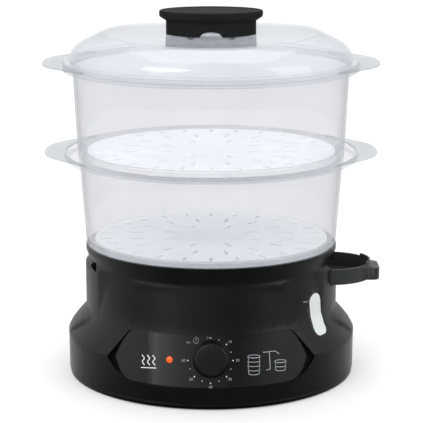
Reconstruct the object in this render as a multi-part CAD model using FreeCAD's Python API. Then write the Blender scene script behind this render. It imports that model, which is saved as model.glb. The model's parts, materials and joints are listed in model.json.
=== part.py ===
import FreeCAD, Part
import math
import os

# Two-tier electric food steamer, free-standing, in millimetres.
# X runs to the right, -Y to the front, Z up. The origin is the middle of the oval base on the table.
# An oval is (half width, half depth); a section is (half width, half depth, height).

Vector = FreeCAD.Vector
Z_AXIS = Vector(0, 0, 1)

oval_seam_angle = 55.0

# Base housing
base_over_lip = 0.6
skirt_bottom = 6.0
skirt_top = 45.0
waist_half_width = 123.6
waist_set_in = 11.5
waist_bottom = 77.0
neck_half_width = 123.2
neck_half_depth = 93.6
neck_height = 121.0
rim_half_width = 126.3
rim_half_depth = 94.4
rim_rise = 9.0
rim_band = 5.0
housing_wall = 3.0
flare_curve = 1.6
flare_steps = 3

# Side pads, a raised band on each side of the housing
pad_half_width = 33.5
pad_side_slope = 0.8
pad_proud = 4.0
pad_front_drop = 10.5
pad_bottom = 69.0
pad_top_drop = 5.0
pad_shoulder = 4.5
pad_notch_width = 8.5
pad_notch_height = 8.5

# Water tank, a moulding of its own that stands inside the housing
tank_fit = 0.4
tank_seal = 0.1
tank_floor_top = 38.0
tank_floor_thickness = 2.8
tank_wall = 2.5
tank_set_in = 11.6
tank_half_depth = 84.0
tank_draft = 4.0
tank_slot_half_width = 38.5
ledge_drop = 6.0
ledge_thickness = 3.0
ledge_width = 4.0

# Control bay and panel at the front
bay_depth = 41.5
bay_top = 79.0
panel_tilt = 16.0
panel_set_out = 2.0
panel_centre_z = 49.5
panel_radius = 175.0
panel_thickness = 2.0
panel_clearance = 0.3
panel_backing = 2.5
panel_top = 72.7
panel_bottom = 22.5
panel_corner_z = 43.6
panel_top_half_width = 77.0
panel_mid_half_width = 101.5
panel_bottom_half_width = 87.5
panel_top_radius = 11.0
panel_mid_radius = 3.5
panel_bottom_radius = 24.0

# Timer and its knob
knob_gap = 0.6
knob_flange_radius = 18.0
knob_flange_thickness = 2.0
knob_base_radius = 16.6
knob_front_radius = 15.4
knob_height = 11.2
knob_edge = 1.4
knob_cap = 3.0
pointer_width = 1.6
pointer_length = 7.0
pointer_depth = 0.5
shaft_radius = 3.0
shaft_flat = 0.7
shaft_fit = 0.05
shaft_hole_clearance = 1.5
timer_width = 46.0
timer_height = 42.0
timer_depth = 21.0
timer_standoff = 6.6
timer_screw_spacing = 22.0
timer_screw_radius = 1.6
timer_screw_head = 2.8
timer_screw_head_height = 0.5
timer_screw_grip = 9.0
bell_radius = 16.0
bell_depth = 8.0
bell_wall = 1.2

# Pilot light
pilot_arc = -40.3
pilot_rise = -1.0
pilot_radius = 3.0
pilot_lens_proud = 0.8
pilot_lamp_radius = 2.3
pilot_lamp_length = 13.0
pilot_holder_wall = 1.3

# Water level window at the front right
window_angle = -39.0
window_set_in = 21.0
window_y = -57.3
window_width = 18.3
window_top = 98.4
window_bottom = 57.9
window_end_radius = 9.1
window_low_radius = 6.0
window_thickness = 2.5
window_shelf = 1.5
window_clearance = 0.15
window_duct_wall = 2.5
window_duct_depth = 34.0

# Pull-out water filler at the right
filler_bottom = 98.1
filler_wall_height = 16.0
filler_wall = 2.0
filler_half_width = 31.5
filler_inner_end = 104.0
filler_curve_start = 118.0
filler_curve_length = 44.0
filler_lug_length = 4.5
filler_lug_reach = 4.5
filler_grip_end = 170.0
filler_grip_front = -19.0
filler_grip_rear = 12.5
filler_grip_inner = 150.0
filler_grip_corner = 6.5
filler_grip_height = 12.5
filler_finger_radius = 6.0
filler_finger_x = 161.5
filler_finger_floor = 3.5
filler_tab_rise = 2.6
filler_slot_half_width = 34.5
filler_slot_top = 124.0
filler_slot_clearance = 0.3
filler_rail_length = 50.0
filler_rail_width = 8.0
filler_rail_thickness = 3.0

# Bowls
bowl_wall = 2.0
bowl_floor = 1.8
bowl_floor_rise = 5.5
bowl_lip_half_width = 145.4
bowl_lip_half_depth = 116.4
bowl_lip_height = 6.8
bowl_shelf = 1.8
bowl_step_drop = 3.5
bowl_step_clearance = 1.9
lower_bowl_bottom = (125.5, 93.6)
lower_bowl_top = (131.0, 99.8)
lower_bowl_height = 95.3
upper_bowl_bottom = (132.0, 100.8)
upper_bowl_top = (135.4, 105.6)
upper_bowl_height = 93.4
tab_reach = 165.0
tab_thickness = 2.2
slot_width = 3.2
slot_places = (0.86, 0.62, 0.36)
slot_counts = (26, 16, 8)
slot_lengths = (12.0, 14.0, 14.0)

# Juice collector and turbo ring
collector_clearance = 0.7
collector_wall = 1.8
collector_depth = 12.5
collector_draft = 4.0
collector_flange = 2.0
chimney_half_width = 40.0
chimney_half_depth = 28.0
chimney_drop = 1.0
chimney_flare = 3.0
chimney_rib_height = 4.0
turbo_radius = 52.0
turbo_wall = 2.0
turbo_height = 57.0
turbo_arch_width = 13.0
turbo_arch_height = 7.0
turbo_arches = 6

# Lid
lid_wall = 2.0
lid_flange_half_width = 144.8
lid_flange_half_depth = 115.8
lid_flange_thickness = 2.3
lid_seat_gap = 0.2
lid_skirt_depth = 5.0
lid_skirt_inset = 1.6
lid_sections = ((139.0, 110.5, 0.0), (138.3, 109.8, 4.6), (134.6, 106.4, 10.6), (127.7, 100.8, 16.0),
                (117.9, 93.4, 20.9), (104.1, 84.0, 27.4), (92.0, 75.0, 31.0))
plateau_height = 23.6
plateau_rise = 3.7
plateau_half_width = 104.0
lid_boss = (30.0, 15.0)
lid_boss_height = 2.2

# Lid handle
grip_oval = (43.9, 25.0)
grip_height = 13.6
grip_wall = 2.6
grip_notch_half_width = 10.5
grip_notch_height = 5.3
grip_post_radius = 4.0
grip_screw_spacing = 40.0
cap_oval = (50.4, 29.5)
cap_chamfer = 4.2
cap_rim_height = 4.8
cap_top_chamfer = 1.0
cap_wall = 2.5
screw_radius = 2.0
screw_head_radius = 3.6
screw_head_height = 2.4
screw_hole_clearance = 0.2

# Heater
heater_flange_radius = 48.0
heater_body_radius = 35.5
heater_hole_clearance = 1.5
heater_flange_thickness = 1.5
heater_body_bottom = 30.0
gasket_thickness = 1.5
clamp_ring_thickness = 2.0
heater_screw_circle = 42.5
heater_screw_count = 4
element_ring_radius = 25.0
element_radius = 3.6
element_pin_radius = 1.8
element_gap_angle = 50.0
element_cold_length = 9.0
thermostat_radius = 8.5
thermostat_height = 8.0
fuse_radius = 2.2
fuse_length = 16.0
fuse_offset = 15.0
bracket_width = 7.0
bracket_thickness = 1.2

# Wiring
terminal_size = (30.0, 14.0, 11.0)
terminal_place = (52.0, 58.0)
wire_radius = 1.3
wire_timer_x = 19.0

# Bottom cover, feet and cord inlet
cover_gap = 0.2
cover_inset = 0.8
cover_edge_bottom = 1.2
cover_plate = 2.4
cover_rib_height = 2.8
cover_rib_width = 1.8
cover_screw_place = (84.0, 50.0)
cover_boss_radius = 4.5
foot_place = (100.0, 60.0)
foot_radius = 8.0
foot_stem_radius = 3.0
foot_barb = 1.0
vent_count = 6
vent_length = 26.0
vent_width = 3.0
vent_pitch = 9.0
cord_height = 18.0
cord_bore_radius = 3.6
cord_bush_radius = 6.0
cord_flange_radius = 8.5
cord_flange_thickness = 2.0
cord_bush_gap = 0.05
cord_notch_half_width = 14.0
cord_notch_margin = 2.5
cord_notch_gap = 0.15
cord_clamp_set_in = 39.0
cord_clamp_spacing = 22.0
cord_clamp_bar = 4.5

# Sizes that follow
rim_start = neck_height + rim_rise
base_height = rim_start + rim_band
pad_top = neck_height - pad_top_drop
ledge_height = base_height - ledge_drop
chimney_top = base_height - chimney_drop
tank_half_width = waist_half_width - tank_set_in
window_x = waist_half_width - window_set_in
skirt_half_width = bowl_lip_half_width + base_over_lip
skirt_half_depth = bowl_lip_half_depth + base_over_lip
waist_half_depth = skirt_half_depth - waist_set_in
panel_centre_y = -waist_half_depth - panel_set_out
bay_back = panel_centre_y + bay_depth
cord_clamp_y = skirt_half_depth - cord_clamp_set_in
cord_notch_top = cord_height + cord_flange_radius + cord_notch_margin
tank_floor_bottom = tank_floor_top - tank_floor_thickness
lower_seat = base_height
lower_rim_top = lower_seat + lower_bowl_height
upper_seat = lower_rim_top - bowl_lip_height + bowl_shelf
upper_rim_top = upper_seat + upper_bowl_height
lid_seat = upper_rim_top + lid_seat_gap
lid_base = lid_seat + lid_flange_thickness
plateau_z = lid_base + plateau_height
grip_bottom = plateau_z + 0.1
grip_top = grip_bottom + grip_height
panel_centre = Vector(0, panel_centre_y, panel_centre_z)
panel_normal = Vector(0, -math.cos(math.radians(panel_tilt)), math.sin(math.radians(panel_tilt)))
panel_up = Vector(0, math.sin(math.radians(panel_tilt)), math.cos(math.radians(panel_tilt)))


def oval_wire(half_width, half_depth, z):
    # An ellipse laid flat at height z. Its ends meet at the right rear, clear of every opening.
    centre = Vector(0, 0, z)
    ellipse = Part.Ellipse(centre + Vector(half_width, 0, 0), centre + Vector(0, half_depth, 0), centre)
    seam = math.radians(oval_seam_angle)
    return Part.Wire(Part.ArcOfEllipse(ellipse, seam, seam + 2 * math.pi).toShape())


def oval_prism(oval, bottom, top):
    face = Part.Face(oval_wire(oval[0], oval[1], bottom))
    return face.extrude(Vector(0, 0, top - bottom))


def oval_stack(sections):
    wires = [oval_wire(a, b, z) for a, b, z in sections]
    return Part.makeLoft(wires, True, True)


def grown(oval, amount):
    return (oval[0] + amount, oval[1] + amount)


def at(oval, z):
    return (oval[0], oval[1], z)


def grown_sections(sections, amount):
    return [(a + amount, b + amount, z) for a, b, z in sections]


def box(low_x, high_x, low_y, high_y, low_z, high_z):
    return Part.makeBox(high_x - low_x, high_y - low_y, high_z - low_z, Vector(low_x, low_y, low_z))


def rod(radius, start, end):
    along = end.sub(start)
    return Part.makeCylinder(radius, along.Length, start, along)


def tube(outer, inner, start, end):
    along = end.sub(start)
    return rod(outer, start, end).cut(rod(inner, start - along, end + along))


def upright(radius, x, y, bottom, top):
    return Part.makeCylinder(radius, top - bottom, Vector(x, y, bottom), Z_AXIS)


def fuse_all(shapes):
    whole = shapes[0]
    if len(shapes) > 1:
        whole = whole.fuse(shapes[1:])
    return whole.removeSplitter()


def rounded_polygon(points, radii):
    # A closed flat outline with an arc of its own radius at each corner.
    edges = []
    ends = []
    count = len(points)
    for index in range(count):
        before, corner, after = points[index - 1], points[index], points[(index + 1) % count]
        to_before = (before - corner).normalize()
        to_after = (after - corner).normalize()
        half_angle = to_before.getAngle(to_after) / 2
        reach = radii[index] / math.tan(half_angle)
        middle_way = (to_before + to_after).normalize()
        centre = corner + middle_way * (radii[index] / math.sin(half_angle))
        start = corner + to_before * reach
        end = corner + to_after * reach
        middle = centre - middle_way * radii[index]
        ends.append((start, end))
        edges.append(Part.Arc(start, middle, end).toShape())
    outline = []
    for index in range(count):
        outline.append(edges[index])
        outline.append(Part.makeLine(ends[index][1], ends[(index + 1) % count][0]))
    return Part.Wire(outline)


# Places on the curved control panel

def panel_axis_point():
    return panel_centre - panel_normal * panel_radius


def panel_cylinder(radius):
    reach = 200.0
    return Part.makeCylinder(radius, 2 * reach, panel_axis_point() - panel_up * reach, panel_up)


def panel_direction(arc):
    angle = arc / panel_radius
    return panel_normal * math.cos(angle) + Vector(math.sin(angle), 0, 0)


def panel_point(arc, rise, proud):
    # A point by its arc length round the panel, its rise up the slope and how far it stands proud.
    return panel_axis_point() + panel_direction(arc) * (panel_radius + proud) + panel_up * rise


def panel_outline_prism(margin):
    # The six-sided window of the panel seen from the front, grown by a margin, and run straight back.
    xs = (panel_top_half_width, panel_mid_half_width, panel_bottom_half_width)
    front = -skirt_half_depth - 20
    corners = [
        Vector(-xs[0], front, panel_top + margin),
        Vector(xs[0], front, panel_top + margin),
        Vector(xs[1] + margin, front, panel_corner_z),
        Vector(xs[2], front, panel_bottom - margin),
        Vector(-xs[2], front, panel_bottom - margin),
        Vector(-xs[1] - margin, front, panel_corner_z),
    ]
    top, mid, bottom = panel_top_radius, panel_mid_radius, panel_bottom_radius
    wire = rounded_polygon(corners, [top, top, mid, bottom, bottom, mid])
    return Part.Face(wire).extrude(Vector(0, -front + bay_back + 6, 0))


# Outer form of the housing

def flare_sections():
    sections = []
    for step in range(flare_steps + 1):
        part_way = step / flare_steps
        spread = (1 - part_way) ** flare_curve
        sections.append((
            waist_half_width + (skirt_half_width - waist_half_width) * spread,
            waist_half_depth + (skirt_half_depth - waist_half_depth) * (1 - part_way),
            skirt_top + (waist_bottom - skirt_top) * part_way,
        ))
    return sections


def upper_sections():
    return [
        (waist_half_width, waist_half_depth, waist_bottom),
        (neck_half_width, neck_half_depth, neck_height),
        (rim_half_width, rim_half_depth, rim_start),
        (rim_half_width, rim_half_depth, base_height),
    ]


def housing_form(inset=0.0):
    skirt = oval_prism((skirt_half_width - inset, skirt_half_depth - inset), skirt_bottom, skirt_top)
    flare = oval_stack(grown_sections(flare_sections(), -inset))
    upper = oval_stack(grown_sections(upper_sections(), -inset))
    return fuse_all([skirt, flare, upper])


def pad_form(inset=0.0):
    pad_width = waist_half_width + pad_proud
    pad_depth = waist_half_depth - pad_front_drop
    blend = 4
    sections = []
    for step in range(blend + 1):
        part_way = step / blend
        sections.append((
            skirt_half_width + (pad_width - skirt_half_width) * part_way ** 1.25,
            skirt_half_depth + (pad_depth - skirt_half_depth) * part_way,
            skirt_top + (pad_bottom - skirt_top) * part_way,
        ))
    sections.append((pad_width - 0.4, pad_depth, pad_top))
    sections.append((neck_half_width, pad_depth - pad_proud, pad_top + pad_shoulder))
    form = oval_stack(grown_sections(sections, -inset))
    # The band's two sides lean outwards, so that it grows softly out of the wall.
    corners = []
    for side_x, side_y in ((-1, -1), (1, -1), (1, 1), (-1, 1)):
        reach_x = skirt_half_width + 1
        low = pad_half_width - pad_side_slope * (reach_x - pad_width)
        high = pad_half_width + pad_side_slope * pad_width
        ends = [Vector(side_x * reach_x, side_y * low, skirt_top), Vector(0, side_y * high, skirt_top)]
        corners += ends if side_x * side_y > 0 else ends[::-1]
    band = Part.Face(Part.makePolygon(corners + corners[:1])).extrude(Vector(0, 0, neck_height - skirt_top))
    return form.common(band)


def window_frame():
    # Directions of the level window: out of the housing, and along it.
    angle = math.radians(window_angle)
    outward = Vector(math.cos(angle), math.sin(angle), 0)
    along = Vector(-math.sin(angle), math.cos(angle), 0)
    return outward, along


def window_prism(margin, inner_reach, outer_reach):
    outward, along = window_frame()
    start = Vector(window_x, window_y, 0) - outward * inner_reach
    half = window_width / 2 + margin
    corners = [
        start - along * half + Vector(0, 0, window_bottom - margin),
        start + along * half + Vector(0, 0, window_bottom - margin),
        start + along * half + Vector(0, 0, window_top + margin),
        start - along * half + Vector(0, 0, window_top + margin),
    ]
    low = window_low_radius + margin
    high = window_end_radius + margin
    wire = rounded_polygon(corners, [low, low, high - 0.05, high - 0.05])
    return Part.Face(wire).extrude(outward * (inner_reach + outer_reach))


def tank_lower(grow, bottom):
    sections = [
        (tank_half_width + grow, tank_half_depth + grow, bottom),
        (tank_half_width + tank_draft + grow, tank_half_depth + tank_draft + grow, bay_top + tank_wall),
    ]
    form = oval_stack(sections)
    front = bay_back + tank_wall - grow
    keep = box(-skirt_half_width, skirt_half_width, front, skirt_half_depth, bottom - 1, base_height)
    return form.common(keep)


def cover_bosses(radius, bottom, top):
    x, y = cover_screw_place
    return [upright(radius, sx * x, sy * y, bottom, top) for sx in (-1, 1) for sy in (-1, 1)]


def clamp_bosses(radius, bottom, top):
    half = cord_clamp_spacing / 2
    return [upright(radius, side * half, cord_clamp_y, bottom, top) for side in (-1, 1)]


def filler_slot(half_width):
    return box(neck_half_width - 30, skirt_half_width, -half_width, half_width,
               filler_bottom - filler_slot_clearance, filler_slot_top)


def filler_rails():
    # Two rails inside the tank carry the filler when it is pushed in.
    top = filler_bottom - filler_slot_clearance
    end = neck_half_width - housing_wall - tank_fit - tank_wall / 2
    start = end - filler_rail_length
    rails = []
    for side in (-1, 1):
        outer = side * (filler_half_width + 1)
        inner = side * (filler_half_width + 1 - filler_rail_width)
        rails.append(box(start, end, min(outer, inner), max(outer, inner), top - filler_rail_thickness, top))
    return rails


def cord_notch(gap, bottom):
    # The notch at the rear of the skirt, open below, that the cover's upstand fills.
    half = cord_notch_half_width - gap
    return box(-half, half, skirt_half_depth / 2, skirt_half_depth + 5, bottom, cord_notch_top - gap)


def make_housing():
    # The outer shell: open below for the cover, with a ledge at the top that carries the juice collector.
    outer = housing_form()
    body = fuse_all([outer, pad_form()])
    inner_skirt = oval_prism((skirt_half_width - housing_wall, skirt_half_depth - housing_wall),
                             skirt_bottom - 1, skirt_top)
    inner_flare = oval_stack(grown_sections(flare_sections(), -housing_wall))
    inner_upper = oval_stack(grown_sections(upper_sections(), -housing_wall))
    mouth = oval_prism(grown((rim_half_width, rim_half_depth), -housing_wall), rim_start, base_height + 1)
    backing = panel_outline_prism(housing_wall).cut(
        panel_cylinder(panel_radius - panel_thickness - panel_backing))
    ledge = oval_prism((rim_half_width, rim_half_depth), ledge_height - ledge_thickness, ledge_height)
    ledge = ledge.cut(oval_prism(ledge_opening(), 0, base_height))
    room = inner_skirt.fuse([inner_flare, inner_upper, mouth])
    room = room.cut([backing, ledge])

    body = body.cut(room)
    body = body.cut(panel_outline_prism(0).cut(panel_cylinder(panel_radius - panel_thickness)))
    body = body.cut([window_prism(-window_shelf, window_duct_depth, 20), filler_slot(filler_slot_half_width)])
    seat = window_prism(0, 20, 20).cut(housing_form(window_thickness))
    body = body.cut(seat)

    shaft_hole = rod(shaft_radius + shaft_hole_clearance, panel_point(0, 0, -20), panel_point(0, 0, 5))
    pilot_hole = rod(pilot_radius + 0.1, panel_point(pilot_arc, pilot_rise, -20),
                     panel_point(pilot_arc, pilot_rise, 5))
    screw_holes = timer_screw_shapes(timer_screw_radius + 0.1, -12, 5)
    return body.cut([shaft_hole, pilot_hole, cord_notch(0, skirt_bottom - 1), pad_notch()] + screw_holes)


def tank_upper_form(inset):
    # The wide upper part of the tank follows the housing's inner wall and ends under the ledge.
    form = oval_stack(grown_sections(upper_sections(), -housing_wall - tank_fit - inset))
    keep = box(-skirt_half_width, skirt_half_width, -skirt_half_depth, skirt_half_depth,
               bay_top + inset, ledge_height - ledge_thickness - tank_seal)
    return form.common(keep)


def make_tank():
    duct = window_prism(window_duct_wall, window_duct_depth, 0).common(housing_form(housing_wall + tank_seal))
    bosses = cover_bosses(cover_boss_radius, cover_edge_bottom + cover_plate + cover_gap, tank_floor_bottom + 1)
    bosses += clamp_bosses(cover_boss_radius, cord_height - cord_bore_radius, tank_floor_bottom + 1)
    outer = fuse_all([tank_lower(tank_wall, tank_floor_bottom), tank_upper_form(0), duct] + bosses)
    room = tank_lower(0, tank_floor_top).fuse(tank_upper_form(tank_wall))
    top = ledge_height - ledge_thickness
    mouth = oval_stack(grown_sections(upper_sections(), -housing_wall - tank_fit - tank_wall)).common(
        box(-skirt_half_width, skirt_half_width, -skirt_half_depth, skirt_half_depth, top - 5, top))
    room = room.fuse(mouth).cut(filler_rails())
    tank = outer.cut(room)
    tank = tank.cut([window_prism(-window_shelf, window_duct_depth - 4, 20), filler_slot(tank_slot_half_width)])
    heater_hole = upright(heater_body_radius + heater_hole_clearance, 0, 0, 0, tank_floor_top + 1)
    heater_holes = heater_screw_shapes(screw_radius + screw_hole_clearance, 0, tank_floor_top + 1)
    pilots = cover_bosses(screw_radius - 0.4, 0, skirt_bottom + 14)
    pilots += clamp_bosses(screw_radius - 0.4, cord_height - cord_bore_radius - 1, cord_height + 8)
    return tank.cut([heater_hole] + heater_holes + pilots)


def ledge_opening():
    return grown((neck_half_width - housing_wall, neck_half_depth - housing_wall), -ledge_width + housing_wall - 1)


def pad_notch():
    # A small three-cornered notch at the front corner of the left pad.
    tip_x = -neck_half_width + 1.0
    top = pad_top + pad_notch_height - 1
    corners = [Vector(tip_x + pad_notch_width, -45, top), Vector(tip_x + pad_notch_width, -45, top - pad_notch_height),
               Vector(tip_x, -45, top - pad_notch_height * 0.55)]
    wire = Part.makePolygon(corners + corners[:1])
    return Part.Face(wire).extrude(Vector(0, 18, 0))


def make_window():
    pane = window_prism(-window_clearance, 20, 20)
    pane = pane.common(housing_form()).cut(housing_form(window_thickness - window_clearance))
    return largest_solid(pane)


def largest_solid(shape):
    return max(shape.Solids, key=lambda solid: solid.Volume)


def make_panel():
    sheet = panel_cylinder(panel_radius).cut(panel_cylinder(panel_radius - panel_thickness + 0.05))
    panel = panel_outline_prism(-panel_clearance).common(sheet)
    holes = [
        rod(shaft_radius + shaft_hole_clearance, panel_point(0, 0, -20), panel_point(0, 0, 5)),
        rod(pilot_radius + 0.1, panel_point(pilot_arc, pilot_rise, -20), panel_point(pilot_arc, pilot_rise, 5)),
    ] + timer_screw_shapes(timer_screw_radius + 0.1, -12, 5)
    return largest_solid(panel.cut(holes))


# Timer, knob and pilot light

def timer_screw_shapes(radius, start, end):
    half = timer_screw_spacing / 2
    shapes = []
    for side in (-1, 1):
        foot = panel_centre + Vector(side * half, 0, 0)
        shapes.append(rod(radius, foot + panel_normal * start, foot + panel_normal * end))
    return shapes


def panel_box(half_width, half_height, back, front):
    # A box square to the panel's middle, between two depths along its normal.
    corners = []
    for u, v in ((-1, -1), (1, -1), (1, 1), (-1, 1)):
        corners.append(panel_centre + Vector(u * half_width, 0, 0) + panel_up * (v * half_height)
                       + panel_normal * back)
    face = Part.Face(Part.makePolygon(corners + corners[:1]))
    return face.extrude(panel_normal * (front - back))


def make_timer_case():
    front = -timer_standoff
    case = panel_box(timer_width / 2, timer_height / 2, front - timer_depth, front)
    bush = rod(shaft_radius + 3, panel_point(0, 0, front - 1), panel_point(0, 0, front + 1.6))
    bore = rod(shaft_radius + shaft_fit, panel_point(0, 0, front - timer_depth + 4), panel_point(0, 0, front + 3))
    case = case.fuse(bush).cut([bore] + timer_screw_shapes(timer_screw_radius, front - 10, front + 1))
    return case.removeSplitter()


def make_timer_bell():
    back = -timer_standoff - timer_depth
    start = panel_point(0, 0, back)
    cup = rod(bell_radius, start, start - panel_normal * bell_depth)
    cup = cup.cut(rod(bell_radius - bell_wall, start + panel_normal, start - panel_normal * (bell_depth - bell_wall)))
    post = rod(2.5, start, start - panel_normal * bell_depth)
    return cup.fuse(post).removeSplitter()


def knob_point(distance):
    return panel_centre + panel_normal * distance


def make_knob():
    back = knob_gap
    flange_top = back + knob_flange_thickness
    front = back + knob_height
    flange = rod(knob_flange_radius, knob_point(back), knob_point(flange_top))
    body = Part.makeCone(knob_base_radius, knob_front_radius, front - flange_top, knob_point(flange_top),
                         panel_normal)
    knob = flange.fuse(body).removeSplitter()
    rim = [edge for edge in knob.Edges
           if edge.Length > 2 * math.pi * knob_front_radius * 0.99
           and abs((edge.CenterOfMass - panel_centre).dot(panel_normal) - front) < 0.01]
    knob = knob.makeChamfer(knob_edge, rim)
    bore = rod(shaft_radius, knob_point(back - 1), knob_point(front - knob_cap))
    bore = bore.cut(shaft_flat_cutter(back - 2, front))
    pointer_start = knob_front_radius - pointer_length
    pointer_corners = []
    for u, v in ((-0.5, 0), (0.5, 0), (0.5, 1), (-0.5, 1)):
        pointer_corners.append(knob_point(front - pointer_depth) + Vector(u * pointer_width, 0, 0)
                               + panel_up * (pointer_start + v * (pointer_length + 3)))
    pointer = Part.Face(Part.makePolygon(pointer_corners + pointer_corners[:1])).extrude(panel_normal * 3)
    return knob.cut([bore, pointer]).removeSplitter()


def shaft_flat_cutter(back, front):
    corners = []
    for u, v in ((-2, 0), (2, 0), (2, 2), (-2, 2)):
        corners.append(knob_point(back) + Vector(u * shaft_radius, 0, 0)
                       + panel_up * (shaft_radius - shaft_flat + v * shaft_radius))
    return Part.Face(Part.makePolygon(corners + corners[:1])).extrude(panel_normal * (front - back))


def make_shaft():
    back = -timer_standoff - timer_depth + 5
    front = knob_gap + knob_height - knob_cap - 0.2
    shaft = rod(shaft_radius, knob_point(back), knob_point(front))
    return shaft.cut(shaft_flat_cutter(knob_gap - 0.2, front + 1)).removeSplitter()


def make_timer_screws():
    shanks = timer_screw_shapes(timer_screw_radius, -timer_standoff - timer_screw_grip, 0.1)
    heads = timer_screw_shapes(timer_screw_head, 0.0, timer_screw_head_height)
    return Part.makeCompound([fuse_all([shanks[i], heads[i]]) for i in range(2)])


def make_pilot_lens():
    stem = rod(pilot_radius, panel_point(pilot_arc, pilot_rise, -6), panel_point(pilot_arc, pilot_rise, 0.1))
    centre = panel_point(pilot_arc, pilot_rise, 0.1)
    dome_radius = (pilot_radius ** 2 + pilot_lens_proud ** 2) / (2 * pilot_lens_proud)
    direction = panel_direction(pilot_arc)
    ball = Part.makeSphere(dome_radius, centre - direction * (dome_radius - pilot_lens_proud))
    cap = ball.common(rod(pilot_radius, centre, centre + direction * 5))
    return fuse_all([stem, cap])


def make_pilot_lamp():
    direction = panel_direction(pilot_arc)
    tip = panel_point(pilot_arc, pilot_rise, -6.2)
    glass = rod(pilot_lamp_radius, tip, tip - direction * pilot_lamp_length)
    return glass


def make_pilot_holder():
    direction = panel_direction(pilot_arc)
    tip = panel_point(pilot_arc, pilot_rise, -6.2)
    inner = pilot_lamp_radius + 0.1
    sleeve = tube(inner + pilot_holder_wall, inner, tip, tip - direction * (pilot_lamp_length - 3))
    return sleeve


# Filler

def filler_plan(inset, bottom, top, reach=0.0):
    # Straight sides from the inner end, closed by a half oval nose.
    half = filler_half_width - inset
    centre = Vector(filler_curve_start, 0, bottom)
    ellipse = Part.Ellipse(centre + Vector(filler_curve_length - inset, 0, 0), centre + Vector(0, half, 0), centre)
    nose = Part.ArcOfEllipse(ellipse, -math.pi / 2, math.pi / 2).toShape()
    corners = [Vector(filler_curve_start, half, bottom), Vector(filler_inner_end - reach, half, bottom),
               Vector(filler_inner_end - reach, -half, bottom), Vector(filler_curve_start, -half, bottom)]
    wire = Part.Wire([nose] + Part.makePolygon(corners).Edges)
    return Part.Face(wire).extrude(Vector(0, 0, top - bottom))


def make_filler():
    floor = filler_bottom + filler_wall
    top = filler_bottom + filler_wall_height
    trough = filler_plan(0, filler_bottom, top)
    lugs = []
    for side in (-1, 1):
        low = min(side * (filler_half_width - 1), side * (filler_half_width + filler_lug_reach))
        high = max(side * (filler_half_width - 1), side * (filler_half_width + filler_lug_reach))
        lugs.append(box(filler_inner_end + 2, filler_inner_end + 2 + filler_lug_length, low, high,
                        filler_bottom, filler_bottom + 8))
    grip = box(filler_grip_inner, filler_grip_end, filler_grip_front, filler_grip_rear,
               filler_bottom + 1.5, filler_bottom + filler_grip_height)
    corners = [edge for edge in grip.Edges
               if abs(edge.Vertexes[0].Z - edge.Vertexes[-1].Z) > 1 and edge.Vertexes[0].X > filler_grip_end - 1]
    grip = grip.makeFillet(filler_grip_corner, corners)
    tab = filler_plan(0.4, filler_bottom + 4, top + filler_tab_rise)
    tab = tab.common(box(filler_curve_start + filler_curve_length - 9, filler_grip_end, -13, 17, 0, base_height))
    trough = fuse_all([trough, grip, tab])
    hollow = filler_plan(filler_wall, floor, top + 10, reach=5)
    finger = upright(filler_finger_radius, filler_finger_x, filler_grip_front - 1.5,
                     filler_bottom + filler_finger_floor, filler_bottom + 30)
    return fuse_all([trough.cut(hollow)] + lugs).cut(finger)


# Bowls, collector and ring

def tab_outline(side, z, root):
    # One ear of a bowl: a rounded tip that sweeps back into the oval lip.
    half = [(tab_reach, 0.0), (tab_reach - 1.2, 13.0), (tab_reach - 5.0, 25.5), (tab_reach - 12.5, 36.0),
            (tab_reach - 21.0, 44.5), (tab_reach - 30.5, 54.5), (root, 74.0)]
    points = [Vector(side * x, -y, z) for x, y in reversed(half)]
    points += [Vector(side * x, y, z) for x, y in half[1:]]
    curve = Part.BSplineCurve()
    curve.interpolate(points)
    edge = curve.toShape()
    return Part.Face(Part.Wire([edge, Part.makeLine(points[-1], points[0])]))


def make_bowl(seat, height, bottom_oval, top_oval):
    rim_top = seat + height
    shelf_bottom = rim_top - bowl_lip_height
    floor_top = seat + bowl_floor_rise
    lip = (bowl_lip_half_width, bowl_lip_half_depth)
    wall = oval_stack([at(bottom_oval, seat), at(top_oval, shelf_bottom + bowl_shelf / 2)])
    band = oval_prism(lip, shelf_bottom, rim_top)
    tabs = [tab_outline(side, rim_top - tab_thickness, bowl_lip_half_width - 35).extrude(
        Vector(0, 0, tab_thickness)) for side in (-1, 1)]
    step_oval = grown(bottom_oval, -bowl_wall - bowl_step_clearance)
    step = oval_prism(step_oval, seat - bowl_step_drop, floor_top)
    bowl = fuse_all([wall, band, step] + tabs)
    slope_a = (top_oval[0] - bottom_oval[0]) / (shelf_bottom - seat)
    slope_b = (top_oval[1] - bottom_oval[1]) / (shelf_bottom - seat)
    inner_low = (bottom_oval[0] - bowl_wall + slope_a * bowl_floor_rise,
                 bottom_oval[1] - bowl_wall + slope_b * bowl_floor_rise, floor_top)
    inner_high = at(grown(top_oval, -bowl_wall), shelf_bottom + bowl_shelf)
    room = oval_stack([inner_low, inner_high])
    rim_room = oval_prism(grown(lip, -bowl_shelf), shelf_bottom + bowl_shelf, rim_top + 1)
    under = oval_prism(grown(step_oval, -bowl_wall), seat - bowl_step_drop - 1, floor_top - bowl_floor)
    slots = floor_slots((inner_low[0], inner_low[1]), floor_top - bowl_floor - 1, floor_top + 1)
    return bowl.cut([room, rim_room, under] + slots).removeSplitter()


def floor_slots(oval, bottom, top):
    slots = []
    for scale, count, length in zip(slot_places, slot_counts, slot_lengths):
        for index in range(count):
            angle = 2 * math.pi * (index + 0.5) / count
            x, y = oval[0] * scale * math.cos(angle), oval[1] * scale * math.sin(angle)
            heading = math.degrees(math.atan2(oval[0] * math.sin(angle), oval[1] * math.cos(angle)))
            slot = box(-length / 2, length / 2, -slot_width / 2, slot_width / 2, bottom, top)
            slot.rotate(Vector(0, 0, 0), Z_AXIS, heading)
            slot.translate(Vector(x, y, 0))
            slots.append(slot)
    return slots


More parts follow.
